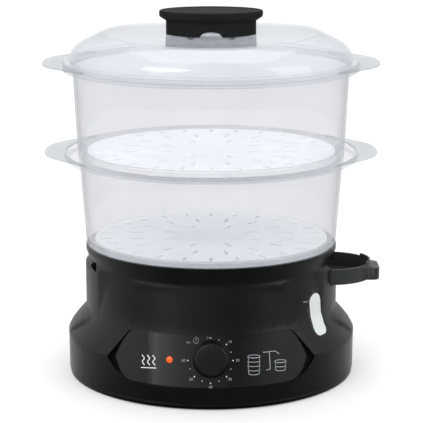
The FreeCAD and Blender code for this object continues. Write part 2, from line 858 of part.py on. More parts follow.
def make_collector():
    flange_oval = grown((rim_half_width, rim_half_depth), -housing_wall - collector_clearance)
    top = ledge_height + collector_flange
    tray_top = grown(ledge_opening(), -collector_clearance)
    tray_low = grown(tray_top, -collector_draft)
    bottom = top - collector_depth
    flange = oval_prism(flange_oval, ledge_height, top)
    tray = oval_stack([at(tray_low, bottom), at(tray_top, ledge_height + 1)])
    chimney = (chimney_half_width, chimney_half_depth)
    stack = oval_stack([at(grown(chimney, chimney_flare), bottom), at(chimney, chimney_top)])
    room = oval_stack([at(grown(tray_low, -collector_wall), bottom + collector_wall),
                       at(grown(tray_top, -collector_wall), top + 1)])
    room = room.cut(stack)
    steam = oval_stack([at(grown(chimney, chimney_flare - collector_wall), bottom - 0.01),
                        at(grown(chimney, -collector_wall), chimney_top + 0.01)])
    tray = fuse_all([flange, tray, stack])
    tray = tray.cut([room, steam])
    rib_x, rib_y = grown(chimney, chimney_flare - collector_wall + 0.4)
    ribs = [box(-rib_x, rib_x, -1, 1, bottom, bottom + chimney_rib_height),
            box(-1, 1, -rib_y, rib_y, bottom, bottom + chimney_rib_height)]
    return fuse_all([tray] + ribs)


def make_turbo_ring():
    bottom = tank_floor_top
    top = bottom + turbo_height
    outer = Part.makeCone(turbo_radius, turbo_radius - 2, turbo_height, Vector(0, 0, bottom), Z_AXIS)
    inner = Part.makeCone(turbo_radius - turbo_wall, turbo_radius - 2 - turbo_wall, turbo_height,
                          Vector(0, 0, bottom), Z_AXIS)
    ring = outer.cut(inner)
    arches = []
    for index in range(turbo_arches // 2):
        cutter = box(-turbo_radius - 5, turbo_radius + 5, -turbo_arch_width / 2, turbo_arch_width / 2,
                     bottom - 1, bottom + turbo_arch_height)
        cutter.rotate(Vector(0, 0, 0), Z_AXIS, index * 360 / turbo_arches)
        arches.append(cutter)
    lip = Part.makeCylinder(turbo_radius - 2, 1.6, Vector(0, 0, top - 1.6), Z_AXIS)
    lip = lip.cut(Part.makeCylinder(turbo_radius - 8, 4, Vector(0, 0, top - 3), Z_AXIS))
    return fuse_all([ring.cut(arches), lip])


# Lid and handle

def plateau_cylinder(drop):
    # The top of the lid is very slightly hollow from side to side: a long shallow cylinder cuts it.
    radius = plateau_half_width ** 2 / (2 * plateau_rise)
    reach = skirt_half_depth + 20
    return Part.makeCylinder(radius + drop, 2 * reach, Vector(0, -reach, plateau_z + radius), Vector(0, 1, 0))


def make_lid():
    outer_sections = [(a, b, lid_base + z) for a, b, z in lid_sections]
    outer = oval_stack(outer_sections).cut(plateau_cylinder(0))
    inner_sections = [(a - lid_wall, b - lid_wall, lid_base + z - lid_wall * (0.3 if z > 5 else 0.0) - 0.01)
                      for a, b, z in lid_sections]
    inner = oval_stack(inner_sections).cut(plateau_cylinder(lid_wall))
    flange = oval_prism((lid_flange_half_width, lid_flange_half_depth), lid_seat, lid_base)
    skirt_oval = grown((lid_sections[0][0], lid_sections[0][1]), -lid_skirt_inset)
    skirt = oval_prism(skirt_oval, lid_seat - lid_skirt_depth, lid_base)
    boss = oval_prism(lid_boss, plateau_z - lid_wall / 2, plateau_z + lid_boss_height)
    shell = fuse_all([outer, flange, skirt, boss])
    throat = oval_prism(grown(skirt_oval, -lid_wall), lid_seat - lid_skirt_depth - 1, lid_base + 0.5)
    holes = lid_screw_shapes(screw_radius + screw_hole_clearance, plateau_z - 10, plateau_z + 10)
    return shell.cut([inner, throat] + holes).removeSplitter()


def lid_screw_shapes(radius, bottom, top):
    half = grip_screw_spacing / 2
    return [upright(radius, side * half, 0, bottom, top) for side in (-1, 1)]


def make_grip():
    body = oval_prism(grip_oval, grip_bottom, grip_top)
    room = oval_prism(grown(grip_oval, -grip_wall), grip_bottom - 1, grip_top - grip_wall)
    posts = lid_screw_shapes(grip_post_radius, plateau_z + lid_boss_height, grip_top - grip_wall / 2)
    room = room.cut(posts)
    notch = Part.Face(Part.Wire(Part.Ellipse(
        Vector(grip_notch_half_width, 0, grip_bottom), Vector(0, 0, grip_bottom + grip_notch_height),
        Vector(0, 0, grip_bottom)).toShape()))
    notch = notch.extrude(Vector(0, -grip_oval[1] - 5, 0))
    pilots = lid_screw_shapes(screw_radius, 0, grip_top - grip_wall - 1)
    # The foot follows the slightly hollow lid top.
    body = body.cut([room, notch] + pilots)
    return body.common(plateau_cylinder(-0.1)).removeSplitter()


def make_cap():
    low = grip_top + 0.1
    rim_low = low + cap_chamfer
    rim_high = rim_low + cap_rim_height
    sections = [at(grip_oval, low), at(cap_oval, rim_low), at(cap_oval, rim_high),
                at(grown(cap_oval, -cap_top_chamfer), rim_high + cap_top_chamfer)]
    shell = oval_stack(sections)
    room_sections = [at(grown(grip_oval, -cap_wall), low - 0.01), at(grown(cap_oval, -cap_wall), rim_low),
                     at(grown(cap_oval, -cap_wall), rim_high + cap_top_chamfer - cap_wall)]
    room = oval_stack(room_sections)
    plug = oval_prism(grown(grip_oval, -grip_wall - 6), low, rim_high)
    return shell.cut(room.cut(plug)).removeSplitter()


def make_lid_screws():
    foot = plateau_z - lid_wall
    shanks = lid_screw_shapes(screw_radius, foot - 0.4, grip_top - grip_wall - 2)
    heads = lid_screw_shapes(screw_head_radius, foot - 0.4 - screw_head_height, foot - 0.4)
    return Part.makeCompound([fuse_all([shanks[i], heads[i]]) for i in range(2)])


# Heater

def heater_screw_shapes(radius, bottom, top):
    shapes = []
    for index in range(heater_screw_count):
        angle = 2 * math.pi * (index + 0.5) / heater_screw_count
        shapes.append(upright(radius, heater_screw_circle * math.cos(angle),
                              heater_screw_circle * math.sin(angle), bottom, top))
    return shapes


def make_heating_plate():
    low = tank_floor_top + gasket_thickness
    flange = upright(heater_flange_radius, 0, 0, low, low + heater_flange_thickness)
    body = upright(heater_body_radius, 0, 0, heater_body_bottom, low + heater_flange_thickness)
    dish = upright(heater_body_radius - 3, 0, 0, low - 3, low + 10)
    threads = heater_screw_shapes(screw_radius, low - 5, low + heater_flange_thickness - 0.4)
    return fuse_all([flange, body]).cut([dish] + threads).removeSplitter()


def make_heater_gasket():
    ring = upright(heater_flange_radius, 0, 0, tank_floor_top, tank_floor_top + gasket_thickness)
    hole = upright(heater_body_radius + 0.5, 0, 0, 0, base_height)
    return ring.cut([hole] + heater_screw_shapes(screw_radius + screw_hole_clearance, 0, base_height))


def make_clamp_ring():
    high = tank_floor_bottom
    ring = upright(heater_flange_radius, 0, 0, high - clamp_ring_thickness, high)
    hole = upright(heater_body_radius + heater_hole_clearance, 0, 0, 0, base_height)
    return ring.cut([hole] + heater_screw_shapes(screw_radius + screw_hole_clearance, 0, base_height))


def make_heater_screws():
    seat = tank_floor_bottom - clamp_ring_thickness
    end = tank_floor_top + gasket_thickness + heater_flange_thickness - 0.5
    shanks = heater_screw_shapes(screw_radius, seat, end)
    heads = heater_screw_shapes(screw_head_radius, seat - screw_head_height, seat)
    return Part.makeCompound([fuse_all([shanks[i], heads[i]]) for i in range(heater_screw_count)])


def make_element():
    z = heater_body_bottom - element_radius
    flat = element_radius * math.cos(math.pi / 8)
    side = element_radius * math.sin(math.pi / 8)
    section = []
    for u, v in ((side, flat), (flat, side), (flat, -side), (side, -flat),
                 (-side, -flat), (-flat, -side), (-flat, side), (-side, flat)):
        section.append(Vector(element_ring_radius + u, 0, z + v))
    face = Part.Face(Part.makePolygon(section + section[:1]))
    face.rotate(Vector(0, 0, 0), Z_AXIS, element_gap_angle / 2)
    ring = face.revolve(Vector(0, 0, 0), Z_AXIS, 360 - element_gap_angle)
    ends = []
    for way in (-1, 1):
        angle = way * (math.radians(element_gap_angle / 2) + element_radius / element_ring_radius)
        x, y = element_ring_radius * math.cos(angle), element_ring_radius * math.sin(angle)
        ends.append(upright(element_pin_radius, x, y, z - element_cold_length, z))
    return fuse_all([ring] + ends)


def make_thermostat():
    low = heater_body_bottom - thermostat_height
    can = upright(thermostat_radius, 0, 0, low, heater_body_bottom)
    blades = [box(-thermostat_radius - 2, -thermostat_radius + 2, -2, 2, low - 5, low + 1),
              box(thermostat_radius - 2, thermostat_radius + 2, -2, 2, low - 5, low + 1)]
    return fuse_all([can] + blades)


def make_thermal_fuse():
    z = heater_body_bottom - fuse_radius
    return rod(fuse_radius, Vector(-fuse_length / 2, fuse_offset, z), Vector(fuse_length / 2, fuse_offset, z))


def make_sensor_bracket():
    low = heater_body_bottom - thermostat_height - bracket_thickness
    reach = fuse_offset + fuse_radius + 1.5
    strip = box(-bracket_width / 2, bracket_width / 2, -reach, reach, low, low + bracket_thickness)
    cradle = box(-bracket_width / 2, bracket_width / 2, fuse_offset - fuse_radius, fuse_offset + fuse_radius,
                 low, heater_body_bottom - 2 * fuse_radius)
    post = upright(2.2, 0, -fuse_offset, low, heater_body_bottom)
    return fuse_all([strip, cradle, post])


def make_terminal_block():
    length, depth, height = terminal_size
    x, y = terminal_place
    top = tank_floor_bottom
    block = box(x - length / 2, x + length / 2, y - depth / 2, y + depth / 2, top - height, top)
    wells = [upright(2.4, x + offset, y, top - height - 1, top - height + 6) for offset in (-9, 0, 9)]
    return block.cut(wells)


def routed_wire(points, radius):
    # Straight runs of round wire with mitred corners.
    path = Part.makePolygon(points)
    section = Part.Wire(Part.makeCircle(radius, points[0], points[1] - points[0]))
    return path.makePipeShell([section], True, False, 1)


def make_wires():
    x, y = terminal_place
    start_z = tank_floor_bottom - terminal_size[2] / 2
    side = x - terminal_size[0] / 2
    pin_angle = math.radians(element_gap_angle / 2) + element_radius / element_ring_radius
    element_x = element_ring_radius * math.cos(pin_angle)
    element_y = element_ring_radius * math.sin(pin_angle)
    element_z = heater_body_bottom - element_radius - element_cold_length
    blade_z = heater_body_bottom - thermostat_height - 5
    timer_back = knob_point(-timer_standoff - timer_depth) + Vector(wire_timer_x, 0, 0) - panel_up * 4
    routes = [
        [Vector(side, y + 4, start_z), Vector(side - 14, y + 4, start_z), Vector(side - 22, y - 6, start_z - 8),
         Vector(element_x + 4, element_y + 12, 12), Vector(element_x, element_y, 10),
         Vector(element_x, element_y, element_z)],
        [Vector(side, y - 4, start_z), Vector(side - 8, y - 4, start_z), Vector(side - 16, y - 16, start_z - 6),
         Vector(4, 30, 13), Vector(-thermostat_radius, 1, 9), Vector(-thermostat_radius, 0, blade_z)],
        [Vector(element_x, -element_y, element_z), Vector(element_x, -element_y - 1, 11),
         Vector(element_x - 3, -element_y - 22, 14), timer_back - panel_normal * 9, timer_back],
    ]
    return Part.makeCompound([routed_wire(route, wire_radius) for route in routes])


# Bottom cover, feet and cord inlet

def make_bottom_cover():
    oval = (skirt_half_width - cover_inset, skirt_half_depth - cover_inset)
    top = skirt_bottom - cover_gap
    plate_top = cover_edge_bottom + cover_plate
    plate = oval_prism(oval, cover_edge_bottom, top)
    rib_oval = grown((skirt_half_width, skirt_half_depth), -housing_wall - 0.4)
    rib = oval_prism(rib_oval, top - 1, top + cover_rib_height)
    room = oval_prism(grown(rib_oval, -cover_rib_width), plate_top, 50)
    holes = cover_bosses(screw_radius + screw_hole_clearance, 0, 20)
    sinks = cover_bosses(screw_head_radius + 0.3, 0, cover_edge_bottom + 1.2)
    stems = foot_shapes(foot_stem_radius + 0.05, 0, 20)
    vents = []
    for index in range(vent_count):
        x = (index - (vent_count - 1) / 2) * vent_pitch
        for y in (-38, 38):
            vents.append(box(x - vent_width / 2, x + vent_width / 2, y - vent_length / 2, y + vent_length / 2, 0, 10))
    wall = oval_prism((skirt_half_width, skirt_half_depth), top - 1, cord_notch_top)
    wall = wall.cut(oval_prism(grown((skirt_half_width, skirt_half_depth), -housing_wall), 0, 50))
    upstand = wall.common(cord_notch(cord_notch_gap, 0))
    cord_hole = rod(cord_bush_radius + 0.1, Vector(0, skirt_half_depth - 12, cord_height),
                    Vector(0, skirt_half_depth + 5, cord_height))
    cover = fuse_all([plate, rib]).cut(room).fuse(upstand)
    return cover.cut(holes + sinks + stems + vents + [cord_hole])


def foot_shapes(radius, bottom, top):
    x, y = foot_place
    return [upright(radius, sx * x, sy * y, bottom, top) for sx in (-1, 1) for sy in (-1, 1)]


def make_feet():
    top = cover_edge_bottom + cover_plate
    pads = foot_shapes(foot_radius, 0, cover_edge_bottom)
    stems = foot_shapes(foot_stem_radius, 0, top + foot_barb)
    barbs = foot_shapes(foot_stem_radius + foot_barb, top, top + foot_barb)
    return Part.makeCompound([fuse_all([pads[i], stems[i], barbs[i]]) for i in range(4)])


def make_cover_screws():
    seat = cover_edge_bottom + 1.2
    heads = cover_bosses(screw_head_radius, seat - 1.1, seat)
    shanks = cover_bosses(screw_radius - 0.4, seat, skirt_bottom + 12)
    return Part.makeCompound([fuse_all([heads[i], shanks[i]]) for i in range(4)])


def make_cord_grommet():
    # The two flanges are flat and stand just clear of the slightly curved wall between them.
    out = Vector(0, 1, 0)
    inner_oval = grown((skirt_half_width, skirt_half_depth), -housing_wall)
    inner_y = inner_oval[1] * math.sqrt(1 - (cord_flange_radius / inner_oval[0]) ** 2)
    wall_outer = Vector(0, skirt_half_depth + cord_bush_gap, cord_height)
    wall_inner = Vector(0, inner_y - cord_bush_gap, cord_height)
    body = rod(cord_bush_radius, wall_inner - out, wall_outer + out)
    outer = rod(cord_flange_radius, wall_outer, wall_outer + out * cord_flange_thickness)
    inner = rod(cord_flange_radius, wall_inner - out * cord_flange_thickness, wall_inner)
    bore = rod(cord_bore_radius, wall_inner - out * 10, wall_outer + out * 10)
    return fuse_all([body, outer, inner]).cut(bore)


def make_cord_clamp():
    seat = cord_height - cord_bore_radius
    half = cord_clamp_spacing / 2 + 5
    bar = box(-half, half, cord_clamp_y - 4.5, cord_clamp_y + 4.5, seat - cord_clamp_bar, seat)
    return bar.cut(clamp_bosses(screw_radius - 0.4 + 0.2, 0, 50))


def make_cord_clamp_screws():
    seat = cord_height - cord_bore_radius - cord_clamp_bar
    heads = clamp_bosses(screw_head_radius, seat - 2, seat)
    shanks = clamp_bosses(screw_radius - 0.4, seat, cord_height + 6)
    return Part.makeCompound([fuse_all([heads[i], shanks[i]]) for i in range(2)])


def all_parts():
    return {
        "base_housing": make_housing(),
        "water_tank": make_tank(),
        "control_panel": make_panel(),
        "level_window": make_window(),
        "water_filler": make_filler(),
        "timer_knob": make_knob(),
        "timer_shaft": make_shaft(),
        "timer_case": make_timer_case(),
        "timer_bell": make_timer_bell(),
        "timer_screws": make_timer_screws(),
        "pilot_lens": make_pilot_lens(),
        "pilot_lamp": make_pilot_lamp(),
        "pilot_holder": make_pilot_holder(),
        "heating_plate": make_heating_plate(),
        "heating_element": make_element(),
        "heater_gasket": make_heater_gasket(),
        "heater_clamp_ring": make_clamp_ring(),
        "heater_screws": make_heater_screws(),
        "thermostat": make_thermostat(),
        "thermal_fuse": make_thermal_fuse(),
        "sensor_bracket": make_sensor_bracket(),
        "terminal_block": make_terminal_block(),
        "lead_wires": make_wires(),
        "bottom_cover": make_bottom_cover(),
        "cover_screws": make_cover_screws(),
        "rubber_feet": make_feet(),
        "cord_grommet": make_cord_grommet(),
        "cord_clamp": make_cord_clamp(),
        "cord_clamp_screws": make_cord_clamp_screws(),
        "turbo_ring": make_turbo_ring(),
        "juice_collector": make_collector(),
        "lower_bowl": make_bowl(lower_seat, lower_bowl_height, lower_bowl_bottom, lower_bowl_top),
        "upper_bowl": make_bowl(upper_seat, upper_bowl_height, upper_bowl_bottom, upper_bowl_top),
        "lid_shell": make_lid(),
        "lid_grip": make_grip(),
        "lid_grip_cap": make_cap(),
        "lid_screws": make_lid_screws(),
    }


def main():
    os.makedirs("parts", exist_ok=True)
    for name, shape in all_parts().items():
        shape.exportStep("parts/" + name + ".step")
        low, high = shape.BoundBox.ZMin, shape.BoundBox.ZMax
        print(f"{name}: {len(shape.Solids)} solids, valid {shape.isValid()}, "
              f"{shape.Volume / 1000:.1f} cm3, z {low:.1f} to {high:.1f}")


main()
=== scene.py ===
import json
import math
import bmesh
import bpy
import numpy as np
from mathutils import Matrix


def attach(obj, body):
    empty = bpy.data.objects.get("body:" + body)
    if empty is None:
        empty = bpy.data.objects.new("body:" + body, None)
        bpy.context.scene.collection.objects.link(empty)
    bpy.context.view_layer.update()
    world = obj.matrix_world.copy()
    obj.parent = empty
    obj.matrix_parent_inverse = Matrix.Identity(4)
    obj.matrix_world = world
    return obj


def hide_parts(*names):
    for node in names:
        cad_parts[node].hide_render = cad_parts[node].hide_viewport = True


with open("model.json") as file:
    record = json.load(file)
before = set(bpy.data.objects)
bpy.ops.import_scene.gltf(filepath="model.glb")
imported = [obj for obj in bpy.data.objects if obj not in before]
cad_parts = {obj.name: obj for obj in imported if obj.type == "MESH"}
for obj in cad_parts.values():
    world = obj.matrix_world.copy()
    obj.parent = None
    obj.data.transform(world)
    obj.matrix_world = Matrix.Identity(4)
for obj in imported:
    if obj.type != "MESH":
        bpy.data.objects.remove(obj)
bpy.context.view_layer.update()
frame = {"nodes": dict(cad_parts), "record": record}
nodes = frame["nodes"]
nodeBody = {node: body for body, members in frame["record"]["behaviour"]["bodies"].items() for node in members}
print("frame loaded:", len(nodes), "nodes")

# The camera comes first: it stands in front and a little above. Lens and sensor are in millimetres, the tilt is
# in degrees and the rest is in metres.
cameraView = {"lens": 116.7, "sensor": 36.0, "place": (0.0004, -1.3309, 0.5384), "downTilt": 15.64,
              "clip": (0.05, 50.0)}


def linkObject(name, data):
    made = bpy.data.objects.new(name, data)
    bpy.context.scene.collection.objects.link(made)
    return made


def makeCamera():
    lens = bpy.data.cameras.new("frontCamera")
    lens.lens = cameraView["lens"]
    lens.sensor_width = cameraView["sensor"]
    lens.clip_start, lens.clip_end = cameraView["clip"]
    camera = linkObject("frontCamera", lens)
    camera.location = cameraView["place"]
    camera.rotation_euler = (math.radians(90 - cameraView["downTilt"]), 0, 0)
    bpy.context.scene.camera = camera


makeCamera()


# Materials

# sRGB hex to linear light: c / 12.92 for dark values, else ((c + 0.055) / 1.055) to the power 2.4.
def linearColour(code):
    channels = [int(code[i:i + 2], 16) / 255 for i in (1, 3, 5)]
    return tuple(c / 12.92 if c <= 0.04045 else ((c + 0.055) / 1.055) ** 2.4 for c in channels) + (1.0,)


plainWhite = (1.0, 1.0, 1.0, 1.0)


# Settings of a node: keys in small letters are its options, the rest its sockets. A socket as value is linked.
def setNode(tree, node, settings):
    for key, value in settings.items():
        if isinstance(key, str) and key[0].islower():
            setattr(node, key, value)
        elif isinstance(value, bpy.types.NodeSocket):
            tree.links.new(value, node.inputs[key])
        else:
            node.inputs[key].default_value = value
    return node


def addNode(tree, kind, settings=None):
    return setNode(tree, tree.nodes.new("ShaderNode" + kind), settings or {})


# The nodes that recur: object coordinates, arithmetic on two values, a mapped value and a mix of two shaders.
def objectPlace(tree):
    return addNode(tree, "TexCoord").outputs["Object"]


def mathNode(tree, operation, first, second):
    return addNode(tree, "Math", {"operation": operation, 0: first, 1: second}).outputs["Value"]


def mapNode(tree, value, to, start=(0.0, 1.0)):
    return addNode(tree, "MapRange", {"Value": value, "From Min": start[0], "From Max": start[1],
                                      "To Min": to[0], "To Max": to[1]}).outputs["Result"]


def mixNode(tree, share, first, second):
    return addNode(tree, "MixShader", {"Fac": share, 1: first.outputs[0], 2: second.outputs[0]})


def newMaterial(name):
    material = bpy.data.materials.new(name)
    material.use_nodes = True
    return material, material.node_tree, material.node_tree.nodes["Principled BSDF"]


# Kinds of noise by their octaves and the strength of each next to the last. Nearly all values lie in the band.
noiseKinds = {"tone": {"Detail": 3.0, "Roughness": 0.55}, "grain": {"Detail": 2.0, "Roughness": 0.6},
              "sheen": {"Detail": 4.0, "Roughness": 0.65}}
noiseBand = (0.3, 0.7)


# Noise with patches of a size in millimetres.
def makeNoise(tree, place, size, kind):
    return addNode(tree, "TexNoise", {"Vector": place, "Scale": 1000 / size, **noiseKinds[kind]}).outputs["Fac"]


# Slow change of tone between two colours.
def toneColour(tree, place, patch, tones):
    ramp = addNode(tree, "ValToRGB", {"Fac": makeNoise(tree, place, patch, "tone")})
    for stop, position, tone in zip(ramp.color_ramp.elements, noiseBand, tones):
        stop.position = position
        stop.color = linearColour(tone)
    return ramp.outputs["Color"]


# Fine grain as bump: noise of a grain size and depth in millimetres.
def grainNormal(tree, place, grain, depth, stretch):
    if stretch:
        place = addNode(tree, "Mapping", {"Vector": place, "Scale": stretch}).outputs["Vector"]
    return addNode(tree, "Bump", {"Strength": 1.0, "Distance": depth / 1000,
                                  "Height": makeNoise(tree, place, grain, "grain")}).outputs["Normal"]


# How many times smaller the patches of roughness usually are than those of the tone.
usualCut = 2


# The start of each finish: the tone as its base colour, a roughness that drifts between two values, and the grain.
def startFinish(name, look):
    material, tree, shader = newMaterial(name)
    place = objectPlace(tree)
    patch, grain, depth = look["scales"]
    setNode(tree, shader, {"Base Color": toneColour(tree, place, patch, look["tones"])})
    sheen = makeNoise(tree, place, patch / look.get("patchCut", usualCut), "sheen")
    roughness = mapNode(tree, sheen, look["roughness"], noiseBand)
    return material, tree, shader, roughness, grainNormal(tree, place, grain, depth, look.get("stretch"))


# Opaque plastic, rubber or metal, or a lens lit from behind.
def solidFinish(name, look):
    material, tree, shader, roughness, normal = startFinish(name, look)
    setNode(tree, shader, {"Roughness": roughness, "Normal": normal, **look["shader"]})
    return material


# The milk in clear plastic is dull, and its film grows with a power of facing, as a mirror's share does.
milkRoughness = 0.6
grazingPower = 5.0


# Clear or milky plastic wall: light goes straight through but for a milky veil, which thickens where the wall is
# seen edge on, and a mirror film, which grows with facing to the power 5. Milky ones let a share of their light
# through to the far side. Light on its way in meets only a share of veil and film, as the light that real clear
# plastic scatters goes on inwards instead of being lost.
def clearFinish(name, look):
    material, tree, shader, roughness, normal = startFinish(name, look)
    milk = setNode(tree, shader, {"Roughness": milkRoughness, "Specular IOR Level": 0.0})
    shine = addNode(tree, "BsdfGlossy", {"Color": plainWhite, "Roughness": roughness, "Normal": normal})
    clear = addNode(tree, "BsdfTransparent", {"Color": linearColour(look["tint"])})
    facing = addNode(tree, "LayerWeight", {"Normal": normal}).outputs["Facing"]
    path = addNode(tree, "LightPath").outputs
    inwards = mathNode(tree, "MAXIMUM", path["Is Shadow Ray"], path["Is Diffuse Ray"])
    thin = mapNode(tree, inwards, (1.0, look["blocks"]))
    veil = mathNode(tree, "MULTIPLY", mapNode(tree, facing, look["veil"]), thin)
    grazing = mathNode(tree, "POWER", facing, grazingPower)
    mirror = mathNode(tree, "MULTIPLY", mapNode(tree, grazing, look["film"]), thin)
    if "through" in look:
        far = addNode(tree, "BsdfTranslucent", {"Color": linearColour(look["tones"][1])})
        milk = mixNode(tree, look["through"], milk, far)
    whole = mixNode(tree, mirror, mixNode(tree, veil, clear, milk), shine)
    setNode(tree, tree.nodes["Material Output"], {"Surface": whole.outputs[0]})
    return material


# Shader inputs of a metal, and of a plastic: index of refraction, specular level and a glow in depth, over 3 mm.
bareMetal = {"Metallic": 1.0}


def gloss(index, specular, depthGlow=0.0):
    return {"IOR": index, "Specular IOR Level": specular, "Subsurface Weight": depthGlow, "Subsurface Scale": 0.003}


# The finishes: two tones; the sizes of patches and grain and the grain's depth in millimetres; the roughness it
# drifts between. Clear ones have a tint, the film's and the veil's least and most share, the share through the
# milk, and what share of veil and film blocks light on its way in.
solidLooks = {
    # Injection-moulded polypropylene with a spark-eroded satin face: soft wide highlights, no mirror image.
    "satinPolypropylene": {"tones": ("#060708", "#090a0b"), "scales": (40.0, 0.8, 0.015),
        "roughness": (0.27, 0.35), "shader": gloss(1.49, 0.32)},
    # The same plastic on the filler in paler tones: painted light for the light that its wall catches.
    "paintedLightPolypropylene": {"tones": ("#282b2c", "#2e3132"), "scales": (20.0, 0.8, 0.02),
        "roughness": (0.34, 0.42), "shader": gloss(1.49, 0.32)},
    # The same plastic on the lid handle, dulled by steam and washing.
    "handledPolypropylene": {"tones": ("#171818", "#1c1d1d"), "scales": (22.0, 0.8, 0.012),
        "roughness": (0.45, 0.55), "shader": gloss(1.49, 0.02)},
    # Gloss-moulded ABS panel: near black with a clean mirror film.
    "glossAbs": {"tones": ("#090a0b", "#0c0d0e"), "scales": (60.0, 6.0, 0.002),
        "roughness": (0.05, 0.09), "shader": gloss(1.53, 0.5)},
    # ABS of the knob: a soft sheen from a finely grained mould.
    "satinAbs": {"tones": ("#0a0b0c", "#0d0e0f"), "scales": (9.0, 0.5, 0.004),
        "roughness": (0.34, 0.42), "shader": gloss(1.53, 0.3)},
    # Heat-resistant cream thermoplastic of terminal blocks: flat and slightly waxy.
    "creamThermoplastic": {"tones": ("#cfc9b8", "#ddd8c9"), "scales": (6.0, 0.4, 0.01),
        "roughness": (0.45, 0.6), "shader": gloss(1.5, 0.4)},
    # Moulded silicone seal: dull brick red with a powdery face.
    "mouldedSilicone": {"tones": ("#7a2f22", "#8c3a2b"), "scales": (7.0, 0.5, 0.02),
        "roughness": (0.6, 0.75), "shader": gloss(1.42, 0.35)},
    # Woven glass sleeving on the leads: off-white with a coarse thread.
    "wovenSleeve": {"tones": ("#b9b5aa", "#d8d5cb"), "scales": (1.2, 0.45, 0.12),
        "roughness": (0.7, 0.85), "shader": gloss(1.5, 0.3)},
    # Soft moulded rubber of the feet and cord bush: matt charcoal.
    "softRubber": {"tones": ("#141414", "#1c1c1c"), "scales": (8.0, 0.6, 0.03),
        "roughness": (0.65, 0.8), "shader": gloss(1.5, 0.3)},
    # White ink printed on the panel: thin, even and a little chalky.
    "printedInk": {"tones": ("#c3c6c7", "#d2d5d6"), "scales": (1.5, 0.3, 0.004),
        "roughness": (0.45, 0.6), "shader": gloss(1.5, 0.3)},
    # Grey ink of the small figures and the level mark.
    "greyInk": {"tones": ("#7d8285", "#8b9093"), "scales": (1.5, 0.3, 0.004),
        "roughness": (0.5, 0.6), "shader": gloss(1.5, 0.3)},
    # Natural polypropylene of the level window: milky white that glows a little in depth.
    "milkyPolypropylene": {"tones": ("#b6bbb9", "#bcc0be"), "scales": (14.0, 1.5, 0.004),
        "roughness": (0.3, 0.36), "shader": gloss(1.49, 0.3, 0.2)},
    # Zinc-plated pressed steel: grey with a drawn grain.
    "zincSteel": {"tones": ("#b4b6b8", "#c9cbcd"), "scales": (9.0, 0.6, 0.01),
        "roughness": (0.3, 0.45), "shader": bareMetal, "patchCut": 3, "stretch": (0.12, 1.0, 1.0)},
    # Nickel-plated steel: bright and smooth.
    "nickelSteel": {"tones": ("#c6c4bd", "#d9d7d0"), "scales": (9.0, 1.0, 0.003),
        "roughness": (0.12, 0.2), "shader": bareMetal, "patchCut": 3},
    # Die-cast aluminium heating plate: pale, sandy skin.
    "castAluminium": {"tones": ("#b9bbbc", "#cfd0d1"), "scales": (5.0, 0.5, 0.03),
        "roughness": (0.38, 0.55), "shader": bareMetal, "patchCut": 3},
    # Pilot lens of red-orange acrylic with a glow of its own.
    "litAcrylic": {"tones": ("#d8400f", "#f0561d"), "scales": (1.6, 1.0, 0.0),
        "roughness": (0.12, 0.2), "patchCut": 1.6,
        "shader": {"IOR": 1.49, "Emission Color": linearColour("#ff5a1e"), "Emission Strength": 0.55}},
}
clearLooks = {
    # Clear styrene-acrylonitrile bowls: colourless, slightly grey in the thickness.
    "clearSan": {"tones": ("#a4a8ac", "#adb1b5"), "scales": (60.0, 30.0, 0.05),
        "roughness": (0.04, 0.09), "tint": "#fdfdfe", "film": (0.04, 1.0), "veil": (0.105, 0.25), "blocks": 0.15},
    # The same plastic on the ears, textured for grip and so hazier.
    "texturedSan": {"tones": ("#919598", "#9a9ea1"), "scales": (20.0, 1.2, 0.05),
        "roughness": (0.12, 0.2), "tint": "#f6f8f9", "film": (0.04, 0.35), "veil": (0.2, 0.4), "blocks": 0.8},
    # The same plastic on the slotted floors, hazed by the mould's grain and by steam.
    "clearFloor": {"tones": ("#e6e9ea", "#edeff0"), "scales": (40.0, 2.0, 0.02),
        "roughness": (0.25, 0.35), "tint": "#fdfdfe", "film": (0.02, 0.25), "veil": (0.72, 0.88), "through": 0.3,
        "blocks": 0.45},
    # Natural polypropylene of the juice tray: milky, lets some light through.
    "trayPolypropylene": {"tones": ("#e6e9ea", "#eef0f1"), "scales": (30.0, 0.8, 0.02),
        "roughness": (0.25, 0.35), "tint": "#f8f9fa", "film": (0.03, 0.25), "veil": (0.8, 0.92), "through": 0.2,
        "blocks": 0.9},
    # Clear polycarbonate lid: a bluish grey cast and a soft haze.
    "clearLid": {"tones": ("#9ca1a6", "#a5aaaf"), "scales": (70.0, 40.0, 0.05),
        "roughness": (0.05, 0.1), "tint": "#fcfdff", "film": (0.04, 0.8), "veil": (0.085, 0.2), "blocks": 0.15},
    # Neon lamp glass, smoked orange by the gas.
    "lampGlass": {"tones": ("#f0b48c", "#f6c8a6"), "scales": (4.0, 3.0, 0.01),
        "roughness": (0.03, 0.08), "tint": "#f8d8c0", "film": (0.04, 1.0), "veil": (0.15, 0.4), "blocks": 0.5},
}
materials = {name: solidFinish(name, look) for name, look in solidLooks.items()}
materials.update((name, clearFinish(name, look)) for name, look in clearLooks.items())
print("materials made:", len(materials))


# Mesh tools

# Quads between neighbouring lines of a grid of points. The last column is joined to the first, and the last row
# to the first too when asked.
def gridFaces(rows, columns, wrapRows=False):
    r, c = np.meshgrid(np.arange(rows if wrapRows else rows - 1), np.arange(columns), indexing="ij")
    nextRow, nextColumn = (r + 1) % rows, (c + 1) % columns
    quads = (r * columns + c, r * columns + nextColumn, nextRow * columns + nextColumn, nextRow * columns + c)
    return np.stack(quads, -1).reshape(-1, 4)


# Angles of a full turn cut into equal steps.
def fullTurn(count):
    return np.linspace(0, 2 * np.pi, count, endpoint=False)


# Points (w cos t, d sin t) of an oval of half width w and half depth d.
def ovalPoints(wide, deep, turn):
    return np.stack([wide * np.cos(turn), deep * np.sin(turn)], -1)


